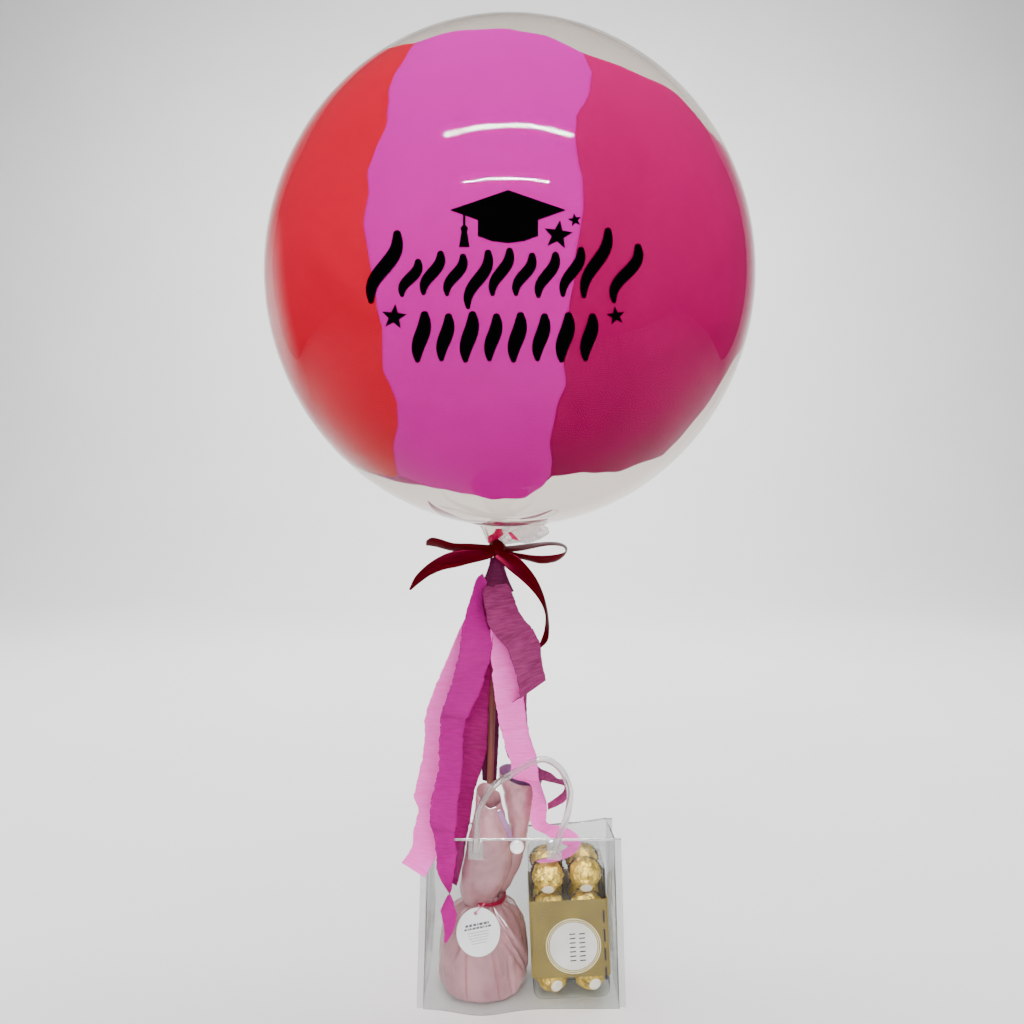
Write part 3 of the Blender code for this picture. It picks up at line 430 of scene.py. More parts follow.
FILM = film_material("bubble film", (0.78, 0.735, 0.69), 0.0, 1.10, 6.0, 0.004)
BAG_FILM = film_material("bag film", (0.68, 0.70, 0.69), 0.02, 1.16, 38.0, 0.60)
WELD_FILM = film_material("welded film", (0.64, 0.65, 0.64), 0.14, 1.40, 260.0, 0.6, 0.80)
GATHERED_FILM = film_material("gathered film", (0.90, 0.90, 0.90), 0.20, 1.40, 320.0, 0.8, 0.50)
BOX_FILM = film_material("box film", (0.90, 0.90, 0.885), 0.0, 1.15, 30.0, 0.10)
TUBE = film_material("handle tube", (0.80, 0.79, 0.78), 0.05, 1.40, 60.0, 0.10, 0.94)
# Each paint runs from its top colour to darker ones lower down: the darkening downward is painted shade.
RED_PAINT = paint_material(
    "red paint", [(0.06, (0.90, 0.001, 0.045)), (0.50, (0.76, 0.001, 0.040)), (0.90, (0.38, 0, 0.010))], 0
)
PINK_PAINT = paint_material(
    "pink paint", [(0.06, (0.94, 0, 0.66)), (0.50, (0.76, 0, 0.48)), (0.90, (0.42, 0, 0.225))], 1
)
CRIMSON_PAINT = paint_material(
    "crimson paint", [(0.06, (0.86, 0, 0.250)), (0.50, (0.52, 0, 0.140)), (0.90, (0.18, 0, 0.042))], 2
)
NECK_RED = plastic_material("paint at the neck", (0.55, 0.0, 0.080), 0.4, 0.0, 0.2)
VINYL = plastic_material("black vinyl", (0.0010, 0.0010, 0.0012), 0.6, 0.0, 0.0)
SATIN = satin_material("dark red satin", (0.026, 0.0, 0.0003), (0.078, 0.0001, 0.0016))
PALE_CREPE = crepe_material("pale pink crepe", (0.90, 0.075, 0.46), (1.0, 0.160, 0.66))
FUCHSIA_CREPE = crepe_material("fuchsia crepe", (0.26, 0.0, 0.135), (0.38, 0.0, 0.200))
MAGENTA_CREPE = crepe_material("magenta crepe", (0.15, 0.0, 0.060), (0.30, 0.002, 0.130))
MAUVE_CREPE = crepe_material("mauve crepe", (0.10, 0.004, 0.042), (0.27, 0.032, 0.135))
# Dark plum for the wrap and the streamer behind the stick: crepe lying in shade, coloured darker as painted
# shade.
PLUM_SHADE_CREPE = crepe_material("plum crepe", (0.045, 0.001, 0.016), (0.110, 0.005, 0.050))
PINK_PAPER = paper_material("dusty pink paper", (0.31, 0.135, 0.158), (0.52, 0.245, 0.275), 0.24, 0.50)
# Darker lilac where the collar's mouths lie in shade: painted shade.
LILAC_SHADE_PAPER = paper_material("lilac paper in painted shade", (0.18, 0.065, 0.180), (0.36, 0.135, 0.330), 0.45, 0.2)
WHITE_CARD = paper_material("white card", (0.84, 0.84, 0.86), (0.93, 0.93, 0.95), 0.6, 0.0)
GREY_PRINT = plastic_material("grey print", (0.11, 0.10, 0.12), 0.6, 0.0, 0.2)
THREAD = paper_material("pink thread", (0.75, 0.10, 0.22), (0.90, 0.22, 0.36), 0.7, 0.0)
RED_TIE = satin_material("red tie", (0.16, 0.004, 0.020), (0.40, 0.020, 0.060))
WHITE_PLASTIC = plastic_material("white press button", (0.90, 0.90, 0.90), 0.3, 0.3, 0.5)
GOLD_CARD = paper_material("gold card", (0.150, 0.096, 0.0), (0.225, 0.150, 0.001), 0.40, 0.05)
LABEL = paper_material("pale label", (0.72, 0.68, 0.62), (0.86, 0.83, 0.78), 0.5, 0.2)
LABEL_RING = paper_material("label ring", (0.72, 0.60, 0.30), (0.86, 0.76, 0.46), 0.4, 0.3)
DARK_PRINT = plastic_material("dark print", (0.030, 0.020, 0.020), 0.5, 0.0, 0.2)
FOIL = foil_material("gold foil", (0.17, 0.095, 0.003), (0.78, 0.53, 0.06))
STICKER = paper_material("pale sticker", (0.78, 0.66, 0.50), (0.88, 0.80, 0.68), 0.4, 0.2)
CUP_PAPER = paper_material("brown cup paper", (0.030, 0.013, 0.010), (0.080, 0.040, 0.030), 0.6, 0.1)
WOOD = wood_material()


# Bubble film


# Stations of the neck: radius, rise in neck lengths, flutes, tuft and how far the axis follows the stick
NECK_STATIONS = [
    (0.0340, 1.160, 0.00, 0.00, 0.0),
    (0.0285, 1.080, 0.10, 0.20, 0.1),
    (0.0230, 0.940, 0.40, 0.55, 0.3),
    (0.0175, 0.740, 0.70, 0.85, 0.6),
    (0.0130, 0.520, 1.00, 1.00, 0.8),
    (0.0096, 0.320, 1.00, 0.80, 1.0),
    (0.0078, 0.140, 1.00, 0.12, 1.0),
    (0.0062, 0.000, 0.60, 0.00, 1.0),
    (0.0047, -0.340, 0.00, 0.00, 1.0),
    (0.0047, -0.660, 0.00, 0.00, 1.0),
]
TUFT_REACH = 0.0295


def stick_xy(height):
    share = (height - STICK_FOOT_HEIGHT) / (TIE_HEIGHT - STICK_FOOT_HEIGHT)
    return Vector(STICK_FOOT_XY).lerp(Vector(TIE_XY), share)


def neck_point(angle, station):
    """A point of the gathered neck: fine flutes, and a crumpled tuft that stands out to the right."""
    radius, rise, flute, tuft, shift = station
    height = TIE_HEIGHT + NECK_LENGTH * rise
    folds = 0.10 * math.cos(10 * angle) + 0.05 * math.cos(23 * angle + 1.0)
    lobe = max(0.0, math.cos(angle)) ** 6
    crumple = 0.12 * wobble(3, angle * 9, height * 260) * lobe * tuft
    reach = radius * (1 + flute * folds) + TUFT_REACH * tuft * lobe * (1 + crumple)
    lift = 0.0016 * tuft * lobe * wobble(5, angle * 14, height * 200)
    axis = stick_xy(height) * shift
    return Vector((axis.x + reach * math.cos(angle), axis.y + reach * math.sin(angle), height + lift))


def make_film():
    segments, sphere_rings = 144, 90
    funnel_angle = math.pi - math.asin(NECK_STATIONS[0][0] / FILM_RADIUS)
    rows = []
    for ring in range(sphere_rings):
        lat = math.degrees(funnel_angle * ring / sphere_rings)
        row = []
        for k in range(segments):
            lon = 90 - math.degrees(math.tau * k / segments)
            row.append(globe(lon, lat, FILM_RADIUS))
        rows.append(row)
    for station in smooth_rows(NECK_STATIONS, 5):
        rows.append([neck_point(math.tau * k / segments, station) for k in range(segments)])
    mesh = clean(sheet_mesh("bubble_film", rows, closed=True))
    looks = dict(wall=FILM_WALL, offset=-1.0, clear=True)
    add_piece("bubble_film", mesh, FILM, "clear_film", ("clear_bubble",), **looks)


# Rows of a strip: its two edges in photo pixels, its depth, and how much deeper the second edge lies
NECK_TUFT = [
    (498, 529, 499, 543, -0.0090, 0.0), (508, 526, 508, 544, -0.0105, 0.004),
    (518, 525.5, 518, 542.5, -0.0110, 0.0), (528, 526, 527, 543, -0.0100, 0.005),
    (537, 525.5, 536, 540.5, -0.0090, 0.001), (544, 528, 543, 538, -0.0080, 0.004),
    (548, 531, 547, 534, -0.0075, 0.0),
]
NECK_PAINTS = {
    "neck_paint_1": [
        (495, 528.5, 506.5, 529, -0.0105, 0.0), (494.5, 533, 503, 535, -0.0100, 0.0),
        (488.5, 537, 499, 538.5, -0.0092, 0.0), (488.5, 543, 500, 544, -0.0086, 0.0),
    ],
    "neck_paint_2": [
        (508, 531.5, 512, 532.5, -0.0125, 0.0), (510, 535, 517, 538, -0.0125, 0.0),
        (513, 539.5, 520, 541, -0.0122, 0.0),
    ],
}


def crush(along, a):
    return 0.0016 * wobble(6, along * 170, a * 1.6) + 0.0010 * wobble(7, along * 420, a * 3)


def make_neck_details():
    """The film's crumpled tuft beside the neck, and the paint caught in its folds."""
    points, _ = edge_rows(NECK_TUFT, 0.0005, 24, 0.012, crush, ragged(8, 0.10))
    mesh = sheet_mesh("neck_tuft", points)
    add_piece("neck_tuft", mesh, GATHERED_FILM, "clear_film", wall=0.0002, clear=True)
    for name, rows in NECK_PAINTS.items():
        points, _ = edge_rows(rows, 0.0008, 10, 0.008, crush, ragged(9, 0.30))
        add_piece(name, sheet_mesh(name, points), NECK_RED, wall=0.0002)


# Painted layer inside the bubble


# The layer's upper and lower edge: in photo pixels in front, in degrees of longitude and latitude beyond
TOP_EDGE_PX = [
    (374, 52), (415, 43), (457, 31), (508, 29), (546, 36), (581, 52), (629, 71), (677, 93), (708, 131),
]
TOP_EDGE_RIGHT = [(70, 68), (84, 74), (100, 70)]
TOP_EDGE_BEHIND = [(130, 52), (165, 46), (200, 50), (240, 47), (262, 44), (285, 43)]
BOTTOM_EDGE_PX = [
    (370, 473), (391, 477), (398, 475), (429, 486), (491, 499),
    (525, 498), (543, 486), (550, 476), (615, 472), (663, 455),
]
BOTTOM_EDGE_RIGHT = [(60.5, 125), (64, 112), (75, 105)]
BOTTOM_EDGE_BEHIND = [
    (90, 103), (105, 108), (125, 117), (150, 128), (180, 139),
    (205, 147), (240, 143), (270, 138), (285, 136),
]
# Edges between the bands, in photo pixels, and the longitudes of those behind
RED_PINK_PX = [
    (415, 43), (389, 90), (388, 120), (377, 148), (369, 169), (370, 193), (364, 220), (370, 262),
    (383, 327), (383, 372), (398, 403), (398, 427), (398, 475),
]
PINK_CRIMSON_PX = [
    (581, 52), (593, 72), (586, 103), (575, 117), (577, 148), (584, 179), (584, 213), (577, 248),
    (563, 362), (565, 386), (556, 410), (550, 444), (550, 476),
]
FAR_EDGES = (125.0, 163.0, 205.0, 248.0)
# How far the brushed edges waver, and how far every second band runs on under its neighbours, in degrees
EDGE_WAVE = 0.9
BAND_OVERLAP = 0.6
BAND_SUNK = 0.00015


def globe_places(pixels):
    places = [on_ball(u, v, PAINT_RADIUS) for u, v in pixels]
    return [(longitude(place), latitude(place)) for place in places]


def coverage_edge(front, behind):
    """Latitude of the layer's edge for any longitude from -75 to 285 degrees."""
    table = sorted(globe_places(front)) + behind
    table = [(lon, lat) for lon, lat in table if lon > -60]
    table = [(lon - 360, lat) for lon, lat in table if lon > 200] + table
    table.sort()
    lons, lats = zip(*table)

    def edge(lon):
        wrapped = (lon + 75) % 360 - 75
        return float(np.interp(wrapped, lons, lats)) + EDGE_WAVE * wobble(11, lon * 0.12)

    return edge


def band_edge(pixels):
    """Longitude of the edge between two bands, for any latitude."""
    table = sorted((lat, lon) for lon, lat in globe_places(pixels))
    lats, lons = zip(*table)
    return lambda lat: float(np.interp(lat, lats, lons)) + 0.5 * wobble(13, lat * 0.25)


def far_edge(lon, seed):
    return lambda lat: lon + 3.0 * wobble(seed, lat * 0.06) + 0.8 * wobble(seed + 1, lat * 0.3)


def make_band(name, left, right, top, bottom, material, under=False):
    """One band of paint. Every second one runs on a little way under its neighbours, so no gap shows."""
    down, across = 110, 72
    radius = PAINT_RADIUS - (BAND_SUNK if under else 0.0)
    spare = BAND_OVERLAP if under else 0.0
    rows = []
    for i in range(down + 1):
        row = []
        for j in range(across + 1):
            lat, lon = 40 + 100 * i / down, 0.0
            for _ in range(6):
                lon = left(lat) - spare + (right(lat) - left(lat) + 2 * spare) * j / across
                lat = top(lon) + (bottom(lon) - top(lon)) * i / down
            row.append(globe(lon, lat, radius))
        rows.append(row)
    add_piece(name, clean(sheet_mesh(name, rows)), material, wall=PAINT_WALL)


def make_painted_layer():
    top = coverage_edge(TOP_EDGE_PX, TOP_EDGE_RIGHT + TOP_EDGE_BEHIND)
    bottom = coverage_edge(BOTTOM_EDGE_PX, BOTTOM_EDGE_RIGHT + BOTTOM_EDGE_BEHIND)
    red_pink = band_edge(RED_PINK_PX)
    pink_crimson = band_edge(PINK_CRIMSON_PX)
    far = [far_edge(lon, 20 + 2 * index) for index, lon in enumerate(FAR_EDGES)]
    before_front = lambda lat: far[3](lat) - 360
    make_band("paint_red", before_front, red_pink, top, bottom, RED_PAINT, under=True)
    make_band("paint_pink", red_pink, pink_crimson, top, bottom, PINK_PAINT)
    make_band("paint_crimson", pink_crimson, far[0], top, bottom, CRIMSON_PAINT, under=True)
    make_band("paint_pink_right", far[0], far[1], top, bottom, PINK_PAINT)
    make_band("paint_crimson_back", far[1], far[2], top, bottom, CRIMSON_PAINT, under=True)
    make_band("paint_pink_left", far[2], far[3], top, bottom, PINK_PAINT)


# Thin crimson marks left by the paint near the neck: photo pixels and half-widths
PAINT_MARKS = {
    "paint_mark_long": [
        (440, 514, 0.6), (462, 520, 1.6), (490, 523.5, 2.2), (520, 523.5, 2.0), (548, 519, 0.8),
    ],
    "paint_mark_left": [(428, 501, 0.4), (436, 509, 2.2), (450, 516, 2.6), (462, 519, 0.6)],
    "paint_mark_right": [(520, 519, 0.4), (536, 516, 1.2), (552, 510, 0.4)],
}


def make_paint_marks():
    for name, marks in PAINT_MARKS.items():
        outline = brush_outline(smooth_rows(marks, 5))
        decal(name, outline, PAINT_RADIUS, PAINT_WALL, CRIMSON_PAINT)


# Vinyl on the film


VINYL_WALL = 0.00006
CAP_PX = [
    (450, 210), (508, 190), (566, 210), (538, 220), (538, 236),
    (524, 241), (508, 243), (492, 241), (478, 236), (478, 220),
]
TASSEL_PX = [
    (463, 214), (465.4, 214), (465.4, 225), (468, 228), (467, 232), (469.5, 247), (459, 247), (461.5, 232),
    (460.5, 228), (463, 225),
]
# Stars: centre and radius in pixels, and turn in degrees
STARS_PX = [(558, 235, 15, 8), (575, 220, 7, -10), (394, 317, 13, 6), (616, 316, 9.5, -8)]
# Strokes of the two rows: centre, top and bottom in pixels, half-width, lean and bow. None is a letter.
UPPER_STROKES_PX = [
    (384, 234, 301, 6.2, 26, 5), (410, 262, 295, 4.6, 16, 3), (432, 254, 293, 4.8, 17, 3),
    (455, 257, 294, 4.6, 16, 3), (478, 253, 307, 5.0, 20, 4), (501, 251, 294, 4.8, 17, 3),
    (524, 256, 294, 4.6, 16, 3), (547, 255, 296, 4.8, 17, 3), (572, 250, 295, 4.6, 18, 3),
    (596, 231, 296, 5.2, 24, 4), (626, 247, 301, 5.0, 24, 5),
]
LOWER_STROKES_PX = [
    (421, 315, 360, 6.4, 7, 1.5), (445, 317, 359, 5.8, 7, 1.5), (469, 315, 360, 6.4, 7, 1.5),
    (493, 317, 359, 5.8, 7, 1.5), (517, 316, 360, 6.4, 7, 1.5), (541, 317, 359, 5.8, 7, 1.5),
    (565, 316, 360, 6.4, 7, 1.5), (589, 317, 359, 5.8, 7, 1.5),
]


def brush_outline(rows):
    """The outline of a brush stroke from its centre line: place and half-width in pixels."""
    left, right = [], []
    for index, (u, v, half) in enumerate(rows):
        before, after = rows[max(index - 1, 0)], rows[min(index + 1, len(rows) - 1)]
        along = Vector((after[0] - before[0], after[1] - before[1])).normalized()
        left.append((u - along.y * half, v + along.x * half))
        right.append((u + along.y * half, v - along.x * half))
    return left + right[::-1]


def decal(name, outline, radius, thickness, material):
    """A flat outline in photo pixels, cut small enough to bend, and laid on a sphere."""
    bm = bmesh.new()
    corners = [bm.verts.new((u, v, 0.0)) for u, v in outline]
    bm.faces.new(corners)
    bmesh.ops.remove_doubles(bm, verts=bm.verts, dist=0.05)
    bmesh.ops.triangulate(bm, faces=bm.faces)
    for _ in range(6):
        long_edges = [edge for edge in bm.edges if edge.calc_length() > 7.0]
        if not long_edges:
            break
        bmesh.ops.subdivide_edges(bm, edges=long_edges, cuts=1)
        bmesh.ops.triangulate(bm, faces=bm.faces)
    for vert in bm.verts:
        vert.co = on_ball(vert.co.x, vert.co.y, radius)
    bmesh.ops.recalc_face_normals(bm, faces=bm.faces)
    outward = sum(face.normal.dot(face.calc_center_median() - BUBBLE_CENTRE) for face in bm.faces)
    if outward < 0:
        bmesh.ops.reverse_faces(bm, faces=bm.faces)
    mesh = bpy.data.meshes.new(name)
    bm.to_mesh(mesh)
    bm.free()
    add_piece(name, mesh, material, sharp=30, wall=thickness)


def star_outline(u, v, radius, turn):
    points = []
    for index in range(10):
        angle = math.radians(turn - 90 + 36 * index)
        reach = radius if index % 2 == 0 else radius * 0.42
        points.append((u + reach * math.cos(angle), v + reach * math.sin(angle)))
    return points


def row_of_strokes(name, strokes):
    """A row of separate leaning brush strokes, none of which is a letter."""
    for index, (u, high, low, half_width, lean, bow) in enumerate(strokes):
        marks = []
        for step in range(17):
            share = step / 16
            half = 1.6 + half_width * math.sin(math.pi * (0.06 + 0.88 * share)) ** 0.6 - 1.2 * share
            across = u + lean * (0.5 - share) + bow * math.sin(math.tau * share)
            marks.append((across, high + (low - high) * share, half))
        decal(f"{name}_{index + 1:02d}", rounded_ends(marks), VINYL_RADIUS, VINYL_WALL, VINYL)


def rounded_ends(marks):
    """A brush stroke's outline with round caps."""
    outline = brush_outline(marks)
    count = len(marks)
    caps = []
    for (u, v, half), side in ((marks[-1], 1), (marks[0], -1)):
        before = marks[-2] if side > 0 else marks[1]
        along = Vector((u - before[0], v - before[1])).normalized()
        across = Vector((-along.y, along.x))
        cap = []
        for step in range(1, 6):
            angle = math.radians(30 * step)
            out = across * math.cos(angle) + along * math.sin(angle)
            cap.append((u + half * out.x, v + half * out.y))
        caps.append(cap)
    return outline[:count] + caps[0] + outline[count:] + caps[1]


def make_vinyl():
    decal("vinyl_cap", CAP_PX, VINYL_RADIUS, VINYL_WALL, VINYL)
    decal("vinyl_tassel", TASSEL_PX, VINYL_RADIUS, VINYL_WALL, VINYL)
    for index, (u, v, radius, turn) in enumerate(STARS_PX):
        decal(f"vinyl_star_{index + 1}", star_outline(u, v, radius, turn), VINYL_RADIUS, VINYL_WALL, VINYL)
    row_of_strokes("vinyl_upper", UPPER_STROKES_PX)
    row_of_strokes("vinyl_lower", LOWER_STROKES_PX)


# Strips: ribbon and crepe


def from_tie(side, back, rise):
    return (TIE_XY[0] + side, TIE_XY[1] + back, TIE_HEIGHT + rise)


BOW_STRIPS = {
    "bow_left_loop": [
        (494, 545, 494, 552, -0.0150, 0.000), (484, 544.5, 486, 553, -0.0170, 0.003),
        (470, 543.5, 470, 552.5, -0.0185, 0.006), (453, 543, 452, 551, -0.0190, 0.007),
        (440, 539, 437, 547.2, -0.0185, 0.007), (432, 537.6, 430, 546, -0.0165, 0.006),
        (427, 540, 426, 545.5, -0.0130, 0.007), (428, 540.5, 428, 545, -0.0100, 0.008),
        (438, 541.5, 437, 546, -0.0085, 0.008), (455, 544, 455, 549.5, -0.0085, 0.007),
        (475, 545, 475, 551, -0.0095, 0.005), (492, 546, 492, 552, -0.0115, 0.002),
    ],
    "bow_left_tail": [
        (494, 549, 493, 557, -0.0160, 0.000), (484, 549.5, 485, 560, -0.0190, 0.002),
        (466, 549.5, 470, 563.5, -0.0215, 0.001), (452, 551.5, 458, 566.8, -0.0230, 0.001),
        (438, 557.5, 443, 570, -0.0235, 0.002), (425, 566.5, 430, 575.5, -0.0235, 0.003),
        (415, 577, 420, 582.5, -0.0230, 0.003), (409, 589.5, 411, 590, -0.0225, 0.000),
    ],
    "bow_right_loop": [
        (497, 546, 499, 553, -0.0145, 0.002), (508, 546, 508, 552, -0.0130, 0.006),
        (520, 544.8, 520, 551, -0.0115, 0.009), (534, 543, 534, 548, -0.0102, 0.010),
        (548, 541.8, 549, 545.6, -0.0098, 0.011), (560, 542.6, 561, 546, -0.0100, 0.011),
        (566.4, 546, 565.4, 549.6, -0.0118, 0.011), (567, 549.4, 564.5, 554.8, -0.0148, 0.009),
        (563, 552.8, 560, 559.6, -0.0172, 0.007), (553, 554.8, 553, 562.4, -0.0188, 0.006),
        (541, 555.4, 541, 563.6, -0.0192, 0.006), (530, 554.8, 529, 561, -0.0185, 0.006),
        (517, 552.8, 516, 558, -0.0172, 0.005), (499, 549, 498, 556, -0.0155, 0.002),
    ],
    "bow_right_tail": [
        (500, 550, 494, 557, -0.0165, 0.000), (510, 552.5, 502, 564, -0.0190, 0.001),
        (519, 557.5, 510, 571, -0.0212, 0.001), (528, 567, 520, 579, -0.0228, 0.002),
        (537, 579.5, 530, 588.5, -0.0238, 0.003), (543.5, 594, 539, 599.5, -0.0242, 0.005),
        (547, 607, 543.8, 609, -0.0242, 0.007), (548.6, 619, 545.6, 619, -0.0240, 0.008),
        (549, 629, 543.8, 632, -0.0238, 0.006), (547.4, 641, 540, 642.5, -0.0236, 0.003),
        (538, 650, 536.5, 649.5, -0.0235, 0.000),
    ],
}


def edge_rows(rows, spacing, across, width, lift, jag):
    """Points of a strip between its two edges, smoothed along its length, and that length."""
    edges = []
    for left_u, left_v, right_u, right_v, y, deeper in rows:
        left, right = at_depth(left_u, left_v, y - deeper / 2), at_depth(right_u, right_v, y + deeper / 2)
        edges.append([*((left + right) / 2), *(right - left)])
    places, table = evenly(smooth_rows(edges, 10), spacing)
    result = []
    for index, along in enumerate(places):
        before, after = max(index - 4, 0), min(index + 4, len(places) - 1)
        path = Vector(table[after, :3] - table[before, :3]).normalized()
        side = Vector(table[index, 3:])
        normal = path.cross(side.normalized())
        row = []
        for step in range(across + 1):
            a = 2 * step / across - 1
            rag = jag(along, math.copysign(1, a)) * abs(a) ** 3 * min(1.0, width / max(side.length, 0.006))
            row.append(Vector(table[index, :3]) + side * (a / 2 * (1 + rag)) + normal * lift(along, a))
        result.append(row)
    return result, float(places[-1])


def satin_lift(along, a):
    return 0.0007 * (1 - a * a) + 0.0004 * wobble(31, along * 60, a)


def straight(along, side):
    """For a cut edge, which isn't ragged, or a strip that lies flat."""
    return 0.0


RIBBON_WALL = 0.0003
# The knot's half width, half depth and half height
KNOT_SIZE = (0.0072, 0.0052, 0.0078)
BOW_RING_RADIUS = 0.0084
BOW_RING_WIDTH = 0.0085
BOW_RING_GIRTH = 0.053


def make_bow():
    for index, (name, rows) in enumerate(BOW_STRIPS.items()):
        points, length = edge_rows(rows, 0.0007, 12, RIBBON_WIDTH, satin_lift, straight)
        mesh = sheet_mesh(name, points, spread=(RIBBON_WIDTH, length))
        replaces = ("ribbon_bow",) if index == 0 else ()
        strip = add_piece(name, mesh, SATIN, "red_satin", replaces, wall=RIBBON_WALL)
    make_bow_knot()
    make_bow_ring()


def make_bow_knot():
    """The knot: a small pinched ball in front of the neck."""
    centre = Vector(from_tie(0, -0.0125, -0.0022))
    half_width, half_depth, half_height = KNOT_SIZE
    rows = []
    for i in range(25):
        polar = math.pi * i / 24
        ring = []
        for k in range(36):
            angle = math.tau * k / 36
            folds = 0.10 * math.cos(4 * angle + 3 * math.cos(polar)) + 0.05 * wobble(33, angle * 2, polar * 3)
            out = on_circle(angle, math.sin(polar)) + Vector((0, 0, math.cos(polar)))
            reach = Vector((out.x * half_width, out.y * half_depth, out.z * half_height))
            ring.append(centre + reach * (1 + folds))
        rows.append(ring)
    add_piece("bow_knot", clean(sheet_mesh("bow_knot", rows, closed=True)), SATIN, "red_satin")


def make_bow_ring():
    """The ribbon's turns round the neck."""
    turns = []
    for i in range(13):
        height = Vector(from_tie(0, 0, 0.0005 - BOW_RING_WIDTH * i / 12))
        ring = []
        for k in range(48):
            angle = math.tau * k / 48
            waver = 0.0004 * math.sin(i * 1.9 + 3 * angle)
            ring.append(height + on_circle(angle, BOW_RING_RADIUS + waver))
        turns.append(ring)
    mesh = sheet_mesh("bow_ring", turns, closed=True, spread=(BOW_RING_GIRTH, BOW_RING_WIDTH))
    add_piece("bow_ring", mesh, SATIN, "red_satin", wall=0.0005, offset=1.0)


